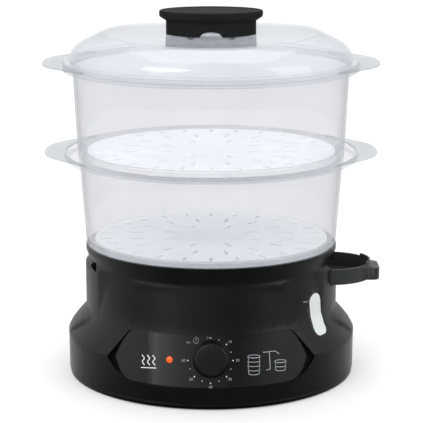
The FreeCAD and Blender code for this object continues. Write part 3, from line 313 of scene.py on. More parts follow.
# Oval surface: each profile point (half width, half depth, height) goes round its oval.
def ovalSurface(profile, columns):
    profile = np.asarray(profile, float)[:, :, None]
    flat = ovalPoints(profile[:, 0], profile[:, 1], fullTurn(columns))
    return np.concatenate([flat, np.broadcast_to(profile[:, 2:], (*flat.shape[:2], 1))], -1)


# Length along a line of points up to each of them.
def arcLength(points):
    return np.concatenate([[0], np.cumsum(np.linalg.norm(np.diff(points, axis=0), axis=1))])


# A rounded corner takes less than half of each run beside it. A run keeps a short step at both ends, so that the
# shading of its bends doesn't spread along it.
pathRules = {"cornerShare": 0.49, "endStep": 0.6, "endShare": 3}


# A path of corners with each corner rounded by a parabola, (1 - u)^2 start + 2 u (1 - u) corner + u^2 end, between
# points one radius away on its two runs, and each run split so that no step is longer than runStep.
def roundedPath(corners, radii, arcSteps=4, runStep=12.0):
    corners = np.asarray(corners, float)
    u = np.linspace(0, 1, arcSteps + 1)[:, None]
    path = [corners[:1]]
    for i in range(1, len(corners)):
        piece = corners[i:]
        if len(piece) > 1:
            back, ahead = corners[i - 1] - corners[i], corners[i + 1] - corners[i]
            reach = min(radii[i], *(pathRules["cornerShare"] * np.linalg.norm(run) for run in (back, ahead)))
            start = corners[i] + back / np.linalg.norm(back) * reach
            end = corners[i] + ahead / np.linalg.norm(ahead) * reach
            piece = (1 - u) ** 2 * start + 2 * u * (1 - u) * corners[i] + u ** 2 * end
        last = path[-1][-1]
        length = np.linalg.norm(piece[0] - last)
        guard = min(pathRules["endStep"], length / pathRules["endShare"])
        inner = np.linspace(guard, length - guard, max(2, math.ceil(length / runStep) + 1)) / max(length, 1e-9)
        path += [last + (piece[0] - last) * inner[:, None], piece]
    return np.concatenate(path)


# Smooth curve through knots: cubic pieces in the share u of each span, with slopes at the knots that are the mean
# slopes of the neighbouring spans.
def smoothCurve(knots, values, where):
    knots, values = np.asarray(knots, float), np.asarray(values, float)
    slopes = np.gradient(values, knots, axis=0)
    i = np.clip(np.searchsorted(knots, where) - 1, 0, len(knots) - 2)
    span = knots[i + 1] - knots[i]
    u = (where - knots[i]) / span
    if values.ndim > 1:
        span, u = span[..., None], u[..., None]
    return ((2 * u ** 3 - 3 * u ** 2 + 1) * values[i] + (u ** 3 - 2 * u ** 2 + u) * span * slopes[i]
            + (3 * u ** 2 - 2 * u ** 3) * values[i + 1] + (u ** 3 - u ** 2) * span * slopes[i + 1])


# Points closer than these are welded and edges shorter than the last are dropped, in metres.
welds = {"piece": 2e-6, "frame": 1e-6, "edge": 1e-7}


def weldMesh(mesh, distance, repair=False):
    work = bmesh.new()
    work.from_mesh(mesh)
    bmesh.ops.remove_doubles(work, verts=work.verts, dist=distance)
    if repair:
        bmesh.ops.dissolve_degenerate(work, edges=work.edges, dist=welds["edge"])
        bmesh.ops.recalc_face_normals(work, faces=work.faces)
    work.to_mesh(mesh)
    work.free()


# A mesh from surfaces given as (points in mm, blocks of faces, finish number), welded, turned outwards and
# shaded smooth but for creases.
def makePiece(name, surfaces, finishes, body, replaced, crease=32.0):
    points, faces, numbers, start = [], [], [], 0
    for surfacePoints, blocks, number in surfaces:
        flat = np.asarray(surfacePoints, float).reshape(-1, 3) / 1000
        points.append(flat)
        for block in blocks:
            faces += (np.asarray(block) + start).tolist()
            numbers += [number] * len(block)
        start += len(flat)
    mesh = bpy.data.meshes.new(name)
    mesh.from_pydata(np.concatenate(points).tolist(), [], faces)
    mesh.polygons.foreach_set("material_index", numbers)
    weldMesh(mesh, welds["piece"], True)
    finishPiece(name, mesh, finishes, body, replaced, crease)


# An object from a mesh: smooth but for creases, with its finishes, on its body and in place of the nodes it
# stands for. Emptying the slots sets every face back to the first, so the faces' numbers are written again.
def finishPiece(name, mesh, finishes, body, replaced, crease):
    mesh.shade_smooth()
    mesh.set_sharp_from_angle(angle=math.radians(crease))
    numbers = np.empty(len(mesh.polygons), int)
    mesh.polygons.foreach_get("material_index", numbers)
    mesh.materials.clear()
    for finish in finishes:
        mesh.materials.append(materials[finish])
    mesh.polygons.foreach_set("material_index", np.minimum(numbers, len(finishes) - 1))
    piece = linkObject(name, mesh)
    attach(piece, body)
    if replaced:
        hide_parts(*replaced)
    return piece


# Creases in degrees of the frame's nodes. Some have an angle of their own: the housing's pocket needs a sharper
# one, and the cover's foot, up to a height in metres, a blunter one.
nodeCreases = {"usual": 28.0, "base_housing": 17.0}
footCreases = {"bottom_cover": (0.02, 75.0)}


# Sharp edges of a mesh by angle, but with another angle for those that lie wholly below a height.
def sharpEdges(mesh, crease, foot, footCrease):
    ends, heights = np.empty(len(mesh.edges) * 2, int), np.empty(len(mesh.vertices) * 3)
    mesh.edges.foreach_get("vertices", ends)
    mesh.vertices.foreach_get("co", heights)
    low = heights.reshape(-1, 3)[:, 2][ends.reshape(-1, 2)].max(axis=1) < foot
    marks = []
    for angle in (crease, footCrease):
        mesh.set_sharp_from_angle(angle=math.radians(angle))
        sharp = np.empty(len(mesh.edges), bool)
        mesh.attributes["sharp_edge"].data.foreach_get("value", sharp)
        marks.append(sharp)
    mesh.attributes["sharp_edge"].data.foreach_set("value", np.where(low, marks[1], marks[0]))


# A merged copy of a node's mesh that stands for the node, shaded smooth with normals weighted by face area.
def smoothNode(node, finish):
    mesh = nodes[node].data.copy()
    weldMesh(mesh, welds["frame"])
    crease = nodeCreases.get(node, nodeCreases["usual"])
    piece = finishPiece(node + "_face", mesh, (finish,), nodeBody[node], (node,), crease)
    if node in footCreases:
        sharpEdges(mesh, crease, *footCreases[node])
    piece.modifiers.new("evenNormals", "WEIGHTED_NORMAL").keep_sharp = True


# The two bowls: one clear moulding each, with a wall, a stepped foot, a lip, two ears and a slotted floor. Sizes
# are in millimetres, ovals are half widths and half depths, and floorEdge is the share of the floor's oval where
# wall and floor meet. A ring of slots is its share of the oval, the number of slots, their length and their width
# in columns; floorRings are more shares where the floor is cut, with bandSteps between two cuts.
bowl = {"wall": 2.0, "floor": 1.8, "floorRise": 5.5, "stepDrop": 3.5, "stepGap": 1.9, "lip": (145.4, 116.4),
        "lipHeight": 6.8, "shelf": 1.8, "columns": 416, "floorEdge": 0.945, "floorRings": (0.2, 0.1, 0.0),
        "slotRings": ((0.86, 26, 12.0, 2), (0.62, 16, 14.0, 3), (0.36, 8, 14.0, 5)), "bandSteps": 2,
        "cornerRadii": (0, 2.5, 1.4, 1.2, 0.8, 0.8, 0.8, 1.6, 0.8, 0.6, 0.6, 0.6, 1.0, 0)}
tiers = {
    "lower_bowl": {"seat": 135.0, "height": 95.3, "foot": (125.5, 93.6), "top": (131.0, 99.8)},
    "upper_bowl": {"seat": 225.3, "height": 93.4, "foot": (132.0, 100.8), "top": (135.4, 105.6)},
}


# How a tier's wall leans outwards, per millimetre of rise, and the oval inside it at the floor's height.
def wallLean(tier):
    foot, top = np.array(tier["foot"]), np.array(tier["top"])
    slope = (top - foot) / (tier["height"] - bowl["lipHeight"] + bowl["shelf"] / 2)
    return slope, foot - bowl["wall"] + slope * bowl["floorRise"]


# Wall and lip: a rounded path of (half width, half depth, height) from the floor's upper edge over the lip and
# down round the foot to the floor's lower edge, swept round as an oval surface.
def bowlWall(tier):
    seat, rimTop = tier["seat"], tier["seat"] + tier["height"]
    shelfLow, floorTop = rimTop - bowl["lipHeight"], tier["seat"] + bowl["floorRise"]
    foot, top, lip = np.array(tier["foot"]), np.array(tier["top"]), np.array(bowl["lip"])
    slope, inner = wallLean(tier)
    step = foot - bowl["wall"] - bowl["stepGap"]
    edge, lipInner, stepInner = inner * bowl["floorEdge"], lip - bowl["shelf"], step - bowl["wall"]
    shelfTop, stepLow, floorLow = shelfLow + bowl["shelf"], seat - bowl["stepDrop"], floorTop - bowl["floor"]
    corners = [(*edge, floorTop), (*inner, floorTop), (*(top - bowl["wall"]), shelfTop), (*lipInner, shelfTop),
               (*lipInner, rimTop), (*lip, rimTop), (*lip, shelfLow), (*(top - slope * bowl["shelf"] / 2), shelfLow),
               (*foot, seat), (*step, seat), (*step, stepLow), (*stepInner, stepLow), (*stepInner, floorLow),
               (*edge, floorLow)]
    points = ovalSurface(roundedPath(corners, bowl["cornerRadii"]), bowl["columns"])
    return points, [gridFaces(len(points), bowl["columns"])], 0


# Slotted floor: two flat grids of oval rings, cells left out where a slot is, and upright quads round each slot
# wherever a kept cell meets one that is left out.
def bowlFloor(tier):
    columns = bowl["columns"]
    floorTop = tier["seat"] + bowl["floorRise"]
    oval = wallLean(tier)[1]
    breaks = [bowl["floorEdge"], *bowl["floorRings"]]
    for place, _, length, _ in bowl["slotRings"]:
        breaks += [place + length / 2 / oval.mean(), place - length / 2 / oval.mean()]
    breaks = np.sort(breaks)[::-1]
    bands = [np.linspace(a, b, bowl["bandSteps"] + 1)[:-1] for a, b in zip(breaks[:-1], breaks[1:])]
    rings = np.concatenate(bands + [[0.0]])
    keep = np.ones((len(rings) - 1, columns), bool)
    middle = (rings[:-1] + rings[1:]) / 2
    for place, count, length, width in bowl["slotRings"]:
        pitch = columns // count
        inRing = np.abs(middle - place) < length / 2 / oval.mean()
        inSlot = (np.arange(columns) - (pitch - width) // 2) % pitch < width
        keep[np.ix_(inRing, inSlot)] = False
    profile = np.stack([rings * oval[0], rings * oval[1], np.full(len(rings), floorTop)], -1)
    upper = ovalSurface(profile, columns)
    lower = upper - (0, 0, bowl["floor"])
    cells = gridFaces(len(rings), columns).reshape(len(rings) - 1, columns, 4)
    total = len(rings) * columns
    faces = [cells[keep], cells[keep] + total]
    sideways = cells[keep != np.roll(keep, -1, axis=1)][:, 1:3]
    endways = cells[:-1][keep[:-1] != keep[1:]][:, 2:4]
    faces += [np.concatenate([edge, edge[:, ::-1] + total], 1) for edge in (sideways, endways)]
    return np.concatenate([upper.reshape(-1, 3), lower.reshape(-1, 3)]), faces, 1


# An ear's reach past the lip at places to each side of its middle, its thickness, how far it goes into the lip,
# the drop of its upper face below the rim, and its raised oval ring: middle, half width, half depth, rise and the
# share of the ring's size that its bulge takes.
ear = {"places": (0.0, 13.0, 25.5, 36.0, 44.5, 54.5, 66.0), "reaches": (19.6, 19.3, 18.1, 14.2, 9.6, 5.2, 0.6),
       "thick": 2.2, "root": 1.0, "drop": 0.25, "ring": (153.5, 5.2, 12.5, 0.55, 0.16), "rows": 141, "run": 36,
       "arc": 9}


# One ear: the tip follows the lip's oval plus the reach. In each row across the bowl the closed section runs out
# along the top, in an arc round the edge and back below. The ring's bulge is rise times exp(-(offset / share)^2).
def bowlEar(tier, side):
    rimTop = tier["seat"] + tier["height"]
    places, reaches = np.array(ear["places"]), np.array(ear["reaches"])
    across = np.sin(np.linspace(-np.pi / 2, np.pi / 2, ear["rows"])) * places[-1]
    lipX = bowl["lip"][0] * np.sqrt(1 - (across / bowl["lip"][1]) ** 2)
    reach = smoothCurve(np.concatenate([-places[:0:-1], places]), np.concatenate([reaches[:0:-1], reaches]), across)
    tip = lipX + np.minimum(reach, reaches[0])
    start = lipX - ear["root"]
    bend = ear["thick"] / 2
    turn = np.linspace(np.pi / 2, -np.pi / 2, ear["arc"])[1:-1]
    flat = start[:, None] + (tip - bend - start)[:, None] * np.linspace(0, 1, ear["run"])
    edgeX = (tip - bend)[:, None] + bend * np.cos(turn)
    edgeZ = rimTop - bend + bend * np.sin(turn)
    ringX, ringWide, ringDeep, rise, bulge = ear["ring"]
    ring = np.hypot((flat - ringX) / ringWide, across[:, None] / ringDeep)
    emboss = rise * np.exp(-((ring - 1) / bulge) ** 2)
    x = np.concatenate([flat, edgeX, flat[:, ::-1]], 1)
    z = np.concatenate([rimTop + emboss - ear["drop"], np.broadcast_to(edgeZ, edgeX.shape),
                        np.full(flat.shape, rimTop - ear["thick"])], 1)
    y = np.broadcast_to(across[:, None], x.shape)
    points = np.stack([side * x, y, z], -1)
    rows, columns = x.shape
    ends = np.stack([np.arange(columns), np.arange((rows - 1) * columns, rows * columns)])
    return points, [gridFaces(rows, columns), ends], 2


def makeBowl(name):
    tier = tiers[name]
    surfaces = [bowlWall(tier), bowlFloor(tier), bowlEar(tier, 1), bowlEar(tier, -1)]
    makePiece(name + "_clear", surfaces, ("clearSan", "clearFloor", "texturedSan"), name, (name,))


for name in tiers:
    makeBowl(name)
print("bowls made")


# The lid: a clear dome with a slightly hollow top, a flat flange, a short skirt and a boss under the handle. The
# dome's sections are half width, half depth and rise above the flange; above a rise, innerDrop lowers the inside by
# a share of the wall. The boss's steps are how far each ring is drawn in and lifted. Levels are counts of rings.
lid = {"seat": 318.9, "base": 321.2, "flange": (144.8, 115.8), "skirt": (137.4, 108.9), "skirtDrop": 5.0,
       "wall": 2.0, "columns": 288, "topHeight": 344.8, "topRise": 3.7, "topHalf": 104.0,
       "boss": (30.0, 15.0), "bossRise": 2.2, "creaseSoft": 1.6, "innerDrop": (5, 0.3), "innerStep": 0.4,
       "bossSteps": ((0.0, 0.0), (0.5, 0.15), (0.7, 0.6), (0.8, 1.6), (1.0, 2.05), (1.5, 2.2)),
       "shares": (0.7, 0.4, 0.15, 0.0), "levels": {"fine": 600, "dome": 34, "bend": 7, "top": 26}, "gather": 1.4,
       "dome": ((139.0, 110.5, 0.0), (138.3, 109.8, 4.6), (134.6, 106.4, 10.6), (127.7, 100.8, 16.0),
                (117.9, 93.4, 20.9), (104.1, 84.0, 27.4), (92.0, 75.0, 31.0))}


# Height of the lid's top: its middle height plus a rise that grows with the square of x.
def lidTop(x, drop=0.0):
    return lid["topHeight"] - drop + lid["topRise"] * (x / lid["topHalf"]) ** 2


# Dome and top of the lid: each column climbs a smooth curve through the dome's sections until it meets the
# hollow top, turns over a soft crease there and runs in to the boss. Its rings gather towards the crease.
def lidSurface(inset):
    turn = fullTurn(lid["columns"])
    levels = lid["levels"]
    sections = np.array(lid["dome"])
    limit, drop = lid["innerDrop"]
    sections = sections + (-inset, -inset, lid["base"]) - np.outer(sections[:, 2] > limit, (0, 0, drop * inset))
    length = arcLength(sections)
    fine = np.linspace(0, length[-1], levels["fine"])
    path = smoothCurve(length, sections, fine)
    above = path[:, 2, None] - lidTop(path[:, 0, None] * np.cos(turn), inset) > 0
    meet = fine[np.argmax(above, axis=0)]
    spread = 1 - (1 - np.linspace(0, 1, levels["dome"])) ** lid["gather"]
    along = np.maximum(meet - lid["creaseSoft"], 0) * spread[:, None]
    at = smoothCurve(length, sections, along)
    dome = np.concatenate([ovalPoints(at[..., 0], at[..., 1], turn), at[..., 2:]], -1)
    at = smoothCurve(length, sections, meet)
    corner = ovalPoints(at[:, 0], at[:, 1], turn)
    middleOval = ovalPoints(*lid["boss"], turn)
    inward = (middleOval - corner) / np.linalg.norm(middleOval - corner, axis=1)[:, None]

    def onTop(flat):
        return np.concatenate([flat, lidTop(flat[..., :1], inset)], -1)

    start, crease, end = dome[-1], onTop(corner), onTop(corner + inward * lid["creaseSoft"])
    u = np.linspace(0, 1, levels["bend"])[1:, None, None]
    bend = (1 - u) ** 2 * start + 2 * u * (1 - u) * crease + u ** 2 * end
    v = np.linspace(0, 1, levels["top"])[1:, None, None]
    return np.concatenate([dome, bend, onTop(end[:, :2] * (1 - v) + middleOval * v)])


# A ring round the lid's middle, with a height for each x.
def lidRing(oval, heightAt):
    flat = ovalPoints(*oval, fullTurn(lid["columns"]))
    return np.concatenate([flat, heightAt(flat[:, :1])], -1)


def makeLid():
    columns = lid["columns"]
    outer, inner = lidSurface(0.0), lidSurface(lid["wall"])
    skirt, flange, domeFoot = np.array(lid["skirt"]), np.array(lid["flange"]), np.array(lid["dome"][0][:2])
    low = lid["seat"] - lid["skirtDrop"]
    throat, innerFoot = skirt - lid["wall"], domeFoot - lid["wall"]
    path = roundedPath([(*throat, low), (*skirt, low), (*skirt, lid["seat"]), (*flange, lid["seat"]),
                        (*flange, lid["base"]), (*domeFoot, lid["base"])], [0, 0.7, 0.8, 0.9, 0.9, 0])
    rim = ovalSurface(path, columns)
    path = roundedPath([(*throat, low), (*throat, lid["base"] - lid["innerStep"]), (*innerFoot, lid["base"])],
                       [0, 0.8, 0])
    neck = ovalSurface(path, columns)
    boss, rise = np.array(lid["boss"]), lid["bossRise"]
    level = lid["topHeight"] + rise
    rings = [lidRing(boss - drawn, lambda x: lidTop(x) * (1 - lift / rise) + level * lift / rise)
             for drawn, lift in lid["bossSteps"]]
    bossEdge = boss - lid["bossSteps"][-1][0]
    bossTop = np.array(rings + [lidRing(bossEdge * share, lambda x: np.full(x.shape, level))
                                for share in lid["shares"]])
    underside = np.array([inner[-1]] + [lidRing(boss * share, lambda x: lidTop(x, lid["wall"]))
                                        for share in lid["shares"]])
    surfaces = [(part, [gridFaces(len(part), columns)], 0) for part in (rim, outer, bossTop, neck, inner, underside)]
    makePiece("lid_clear", surfaces, ("clearLid",), "lid", ("lid_shell",), crease=50.0)


makeLid()
print("lid made")


# The handle's cap: a flared oval disc, closed above and below, its top sunk by a shallow dish. The insets are how
# far from its widest oval the rim's bevel, the rim's flat and the dish begin.
cap = {"low": 358.6, "grip": (43.9, 25.0), "wide": (50.4, 29.5), "chamfer": 4.2, "rim": 4.8, "top": 368.6,
       "columns": 192, "dish": 0.35, "insets": (1.0, 5.0, 6.0)}


# Its section is a rounded path from the middle of the underside out over the rim to the middle of the top.
def makeCap():
    grip, wide = np.array(cap["grip"]), np.array(cap["wide"])
    rimLow, dishLow = cap["low"] + cap["chamfer"], cap["top"] - cap["dish"]
    bevel, flat, dish = [wide - inset for inset in cap["insets"]]
    corners = [(0, 0, cap["low"]), (*grip, cap["low"]), (*wide, rimLow), (*wide, rimLow + cap["rim"]),
               (*bevel, cap["top"]), (*flat, cap["top"]), (*dish, dishLow), (0, 0, dishLow)]
    path = roundedPath(corners, [0, 0.6, 1.6, 1.4, 0.9, 0.5, 0.6, 0], arcSteps=5, runStep=8.0)
    points = ovalSurface(path, cap["columns"])
    makePiece("handle_cap", [(points, [gridFaces(len(points), cap["columns"])], 0)], ("handledPolypropylene",), "lid",
              ("lid_grip_cap",), crease=60.0)


makeCap()
print("handle cap made")


# The control panel's face: a sheet bent round a cylinder and leaned back. Ink stands a little above the face and
# is rooted a little below it; long lines are cut into steps. Letters have a size for each millimetre of height.
panel = {"centre": (0.0, -107.5, 49.5), "tilt": 16.0, "radius": 175.0, "ink": 0.06, "root": -0.02, "step": 1.5,
         "letterSize": 1.38, "letterThick": 0.04, "letterLift": 0.02, "letterSteps": 3}


# A place on the panel: arc length round its cylinder, rise up its slope and height above its face.
def onPanel(arc, rise, proud):
    lean = math.radians(panel["tilt"])
    normal, up = np.array([0, -math.cos(lean), math.sin(lean)]), np.array([0, math.sin(lean), math.cos(lean)])
    axis = np.array(panel["centre"]) - normal * panel["radius"]
    angle = np.asarray(arc)[..., None] / panel["radius"]
    outward = normal * np.cos(angle) + np.array([1.0, 0, 0]) * np.sin(angle)
    return axis + outward * (panel["radius"] + np.asarray(proud)[..., None]) + up * np.asarray(rise)[..., None]


# A printed line: a flat ribbon of ink, its middle line shifted half a width to each side along the normal. Long
# runs are cut into short steps so that the ink follows the bend of the panel.
def inkLine(points, width, closed=False):
    points = np.asarray(points, float)
    if closed:
        along = np.roll(points, -1, 0) - np.roll(points, 1, 0)
    else:
        length = arcLength(points)
        steps = np.union1d(length, np.linspace(0, length[-1], int(length[-1] / panel["step"]) + 3))
        points = np.stack([np.interp(steps, length, points[:, k]) for k in (0, 1)], -1)
        along = np.gradient(points, axis=0)
    along /= np.linalg.norm(along, axis=1)[:, None]
    side = np.stack([-along[:, 1], along[:, 0]], -1) * width / 2
    left, right = points + side, points - side
    ring = np.stack([left, right, right, left], 1)
    proud = np.broadcast_to(np.repeat([panel["root"], panel["ink"]], 2), ring.shape[:2])
    faces = [gridFaces(len(points), 4, wrapRows=closed)]
    if not closed:
        faces.append(np.arange(4) + [[0], [4 * (len(points) - 1)]])
    return onPanel(ring[..., 0], ring[..., 1], proud), faces, 0


# A printed patch: a filled outline with a thin side all round.
def inkPatch(points):
    points = np.asarray(points, float)
    count = len(points)
    both = np.concatenate([points, points])
    proud = np.repeat([panel["root"], panel["ink"]], count)
    faces = [gridFaces(2, count), np.arange(count) + [[0], [count]]]
    return onPanel(both[:, 0], both[:, 1], proud), faces, 0


def circle(centre, radius, count=24, squash=1.0):
    return ovalPoints(radius, radius * squash, fullTurn(count)) + centre


# A word as a thin flat mesh of triangles, its middle at nought, its capitals of a height in millimetres.
def wordMesh(words, height):
    curve = bpy.data.curves.new("figure", "FONT")
    curve.body = words
    curve.size = height * panel["letterSize"]
    curve.align_x = "CENTER"
    curve.align_y = "CENTER"
    curve.resolution_u = panel["letterSteps"]
    curve.extrude = panel["letterThick"]
    holder = linkObject("figure", curve)
    flat = bpy.data.meshes.new_from_object(holder)
    points = np.empty(len(flat.vertices) * 3)
    flat.vertices.foreach_get("co", points)
    points = points.reshape(-1, 3)
    flat.calc_loop_triangles()
    triangles = np.empty(len(flat.loop_triangles) * 3, int)
    flat.loop_triangles.foreach_get("vertices", triangles)
    bpy.data.objects.remove(holder)
    bpy.data.meshes.remove(flat)
    return points, triangles.reshape(-1, 3)


def inkText(words, centre, height):
    points, triangles = wordMesh(words, height)
    places = onPanel(points[:, 0] + centre[0], points[:, 1] + centre[1], points[:, 2] + panel["letterLift"])
    return places, [triangles], 0


# The dial's steps in degrees and minutes. A dot has a radius and a count of points. Its wedges start inside the
# ring of dots and have a length and a half width; figures stand a little further out at the sides, and the nought
# to the left of its wedge.
dial = {"middle": (-0.6, -1.5), "range": 270, "step": 22.5, "minutes": 5, "dotRing": 21.2, "dot": (0.42, 12),
        "wedge": (0.5, 1.5, 0.85), "figureRing": 25.4, "figureHeight": 2.7, "sideShift": 0.6,
        "noughtShift": (-2.6, 1.0)}


# The dial: nought at the top, a figure every 45 degrees clockwise up to 60, a small wedge that points at the
# knob by each figure, and a dot half way between.
def dialMarks():
    middle = np.array(dial["middle"])
    start, length, half = dial["wedge"]
    marks, figures = [], []
    for step in range(int(dial["range"] / dial["step"]) + 1):
        angle = math.radians(90 - dial["step"] * step)
        way = np.array([math.cos(angle), math.sin(angle)])
        across = np.array([-way[1], way[0]])
        if step % 2:
            marks.append(inkPatch(circle(middle + way * dial["dotRing"], *dial["dot"])))
            continue
        tip = middle + way * (dial["dotRing"] - start)
        back = tip + way * length
        marks.append(inkPatch([tip, back + across * half, back - across * half]))
        aside = (dial["sideShift"] * np.sign(round(way[0], 3)), 0)
        place = middle + way * dial["figureRing"] + aside if step else tip + dial["noughtShift"]
        figures.append(inkText(str(step * dial["minutes"]), place, dial["figureHeight"]))
    return marks, figures


# A stopwatch and the word for minutes, above and to the left of the dial. The strokes are the two hands, the stem,
# the crown and the side button, each from and to a place off the middle, with its width.
watch = {"middle": (-14.6, 17.4), "radius": 2.5, "line": 0.4, "word": ("min", (-21.6, 15.9), 2.1),
         "strokes": (((0.0, 0.0), (0.1, 1.5), 0.4), ((0.0, 0.0), (1.0, 0.3), 0.4), ((0.0, 2.6), (0.0, 3.6), 0.7),
                     ((-0.9, 3.6), (0.9, 3.6), 0.5), ((1.8, 2.2), (2.5, 2.9), 0.5))}


def minuteMarks():
    middle = np.array(watch["middle"])
    marks = [inkLine(circle(middle, watch["radius"]), watch["line"], closed=True)]
    marks += [inkLine([middle + start, middle + end], width) for start, end, width in watch["strokes"]]
    return marks + [inkText(*watch["word"])]


# Three rising waves of steam in the left field over a plain line: each wave is x = swing sin(bend y).
steam = {"middle": (-61.5, -2.0), "offsets": (-5.5, 0.0, 5.5), "rise": 5.0, "swing": 1.1, "bend": 0.95,
         "line": 0.9, "base": ((-69.5, -9.4), (-53.5, -9.4)), "baseLine": 0.8, "points": 25}


def steamMarks():
    x, y = steam["middle"]
    rise = np.linspace(-steam["rise"], steam["rise"], steam["points"])
    swing = steam["swing"] * np.sin(rise * steam["bend"])
    marks = [inkLine(np.stack([x + offset + swing, y + rise], -1), steam["line"]) for offset in steam["offsets"]]
    return marks + [inkLine(steam["base"], steam["baseLine"])]


# A small line drawing of a stack of tiers: half ovals and straight sides over a plain foot, and an oval on top. A
# side is from and to a half width and height, with its line; an arc is a half width, a height and a dip; the top
# is a half width, the share of it that is its half depth, a line and a count of points.
stack = {"floor": 4.4, "step": 4.2, "line": 0.6, "footSide": ((5.2, 0.6), (5.2, 4.0), 0.55),
         "tierSide": ((5.4, 0.4), (5.7, 3.6), 0.5), "footArc": (5.2, 0.6, 1.2), "lowArc": (5.8, 0.0, 1.3),
         "tierArc": (6.3, 0.0, 1.3), "arcPoints": 15, "top": (6.3, 0.24, 0.55, 30)}
pictogram = {"stacks": (((41.5, -15.0), 3), ((68.8, -12.0), 1)), "line": 0.7,
             "arrows": (((50.5, 5.7), (63.0, 6.7), (67.5, 3.8)), ((57.0, 5.6), (58.0, -10.5), (54.0, -11.5)))}


def stackMarks(place, tiersDrawn):
    place = np.array(place)
    arc = np.linspace(np.pi, 2 * np.pi, stack["arcPoints"])

    def sides(start, end, line, at):
        return [inkLine(np.array([start, end]) * (side, 1) + at, line) for side in (-1, 1)]

    def frontArc(width, height, dip, at):
        return inkLine(ovalPoints(width, dip, arc) + (at + (0, height)), stack["line"])

    marks = sides(*stack["footSide"], place)
    for level in range(tiersDrawn + 1):
        at = place + (0, stack["floor"]) + (0, stack["step"] * level)
        marks.append(frontArc(*stack["tierArc" if level else "lowArc"], at))
        if level < tiersDrawn:
            marks += sides(*stack["tierSide"], at)
    width, squash, line, count = stack["top"]
    marks.append(inkLine(circle(at, width, count, squash), line, closed=True))
    return marks + [frontArc(*stack["footArc"], place)]


# The word by the level window: flat letters on the housing's side, laid along its level and upright directions.
levelMark = {"word": "MAX", "place": (91.93, -67.49, 93.09), "normal": (0.656, -0.742, 0.138), "height": 1.9,
             "lift": 0.05}


def sideText():
    points, triangles = wordMesh(levelMark["word"], levelMark["height"])
    normal = np.array(levelMark["normal"]) / np.linalg.norm(levelMark["normal"])
    level = np.array([-normal[1], normal[0], 0]) / math.hypot(normal[0], normal[1])
    upright = np.cross(normal, level)
    lifted = points[:, 2:] + levelMark["lift"]
    return levelMark["place"] + points[:, :1] * level + points[:, 1:2] * upright + lifted * normal, [triangles], 1


# White ink for the dial's marks and the steam, grey for all the rest.
def makePanelMarks():
    marks, grey = dialMarks()
    marks += steamMarks()
    grey += minuteMarks()
    for place, tiersDrawn in pictogram["stacks"]:
        grey += stackMarks(place, tiersDrawn)
    grey += [inkLine(arrow, pictogram["line"]) for arrow in pictogram["arrows"]]
    marks += [(points, faces, 1) for points, faces, _ in grey] + [sideText()]
    makePiece("printed_marks", marks, ("printedInk", "greyInk"), "base", (), crease=30.0)


makePanelMarks()
print("panel marks made")


# Nodes whose own shape is right: a merged smooth copy for what shows, a finish alone for what is shut inside.
shownNodes = {
    "base_housing": "satinPolypropylene", "water_tank": "satinPolypropylene", "control_panel": "glossAbs",
    # The filler's paler tones are painted light.
    "level_window": "milkyPolypropylene", "water_filler": "paintedLightPolypropylene", "timer_knob": "satinAbs",
    "pilot_lens": "litAcrylic", "heating_plate": "castAluminium", "bottom_cover": "satinPolypropylene",
    "cover_screws": "zincSteel", "rubber_feet": "softRubber", "cord_grommet": "softRubber",
    "turbo_ring": "satinPolypropylene", "juice_collector": "trayPolypropylene",
    "lid_grip": "handledPolypropylene", "lid_screws": "zincSteel",
}
innerNodes = {
    "zincSteel": ("timer_shaft", "timer_case", "timer_screws", "heating_element", "heater_clamp_ring",
                  "heater_screws", "sensor_bracket", "cord_clamp_screws"),
    "nickelSteel": ("timer_bell", "thermostat"), "lampGlass": ("pilot_lamp",), "wovenSleeve": ("lead_wires",),
    "creamThermoplastic": ("pilot_holder", "thermal_fuse", "terminal_block"),
    "mouldedSilicone": ("heater_gasket",), "satinPolypropylene": ("cord_clamp",),
}
for node, finish in shownNodes.items():
    smoothNode(node, finish)
for finish, members in innerNodes.items():
    for node in members:
        nodes[node].data.materials.clear()
        nodes[node].data.materials.append(materials[finish])
print("frame nodes finished")


# Floor, sky and lamps

# The sky turns from low to high between nought and skyBlend, the sine of the view's rise.
studio = {"skyStrength": 1.65, "skyBlend": 0.15, "floorSize": 6.0, "floorTone": "#bfbfbf", "floorRoughness": 0.9,
          "floorGlow": 0.2}
# What mirrors see: brightness by the compass angle in degrees, nought at the front and minus to the left. The sky
# holds a soft box on the left with a hard edge at -42 degrees; the low sky and the floor are dim in front and
# lighter at the sides.
skyMirror = ((-180, 0.9), (-95, 1.0), (-60, 0.9), (-50, 0.75), (-42, 0.68), (-41.4, 1.95), (-32, 1.15),
             (-22, 0.68), (-13, 0.52), (0, 0.34), (8, 0.28), (14, 0.16), (19, 0.16), (28, 0.26), (36, 0.45),
             (50, 0.75), (95, 0.85), (180, 0.9))
skyLow = ((-180, 0.95), (-100, 0.95), (-70, 0.7), (-50, 0.35), (-30, 0.1), (30, 0.1), (50, 0.3), (70, 0.6),
          (100, 0.9), (180, 0.95))
floorMirror = ((-180, 0.5), (-144, 0.6), (-113, 0.9), (-92, 0.8), (-72, 0.55), (-52, 0.25), (-30, 0.08),
               (30, 0.08), (52, 0.25), (72, 0.5), (92, 0.75), (113, 0.8), (144, 0.6), (180, 0.5))


# Two flags by kind of ray: rays from the camera or through clear pieces, which see plain white, and mirrored ones.
def rayKinds(tree):
    path = addNode(tree, "LightPath").outputs
    return mathNode(tree, "MAXIMUM", path["Is Camera Ray"], path["Is Transmission Ray"]), path["Is Glossy Ray"]


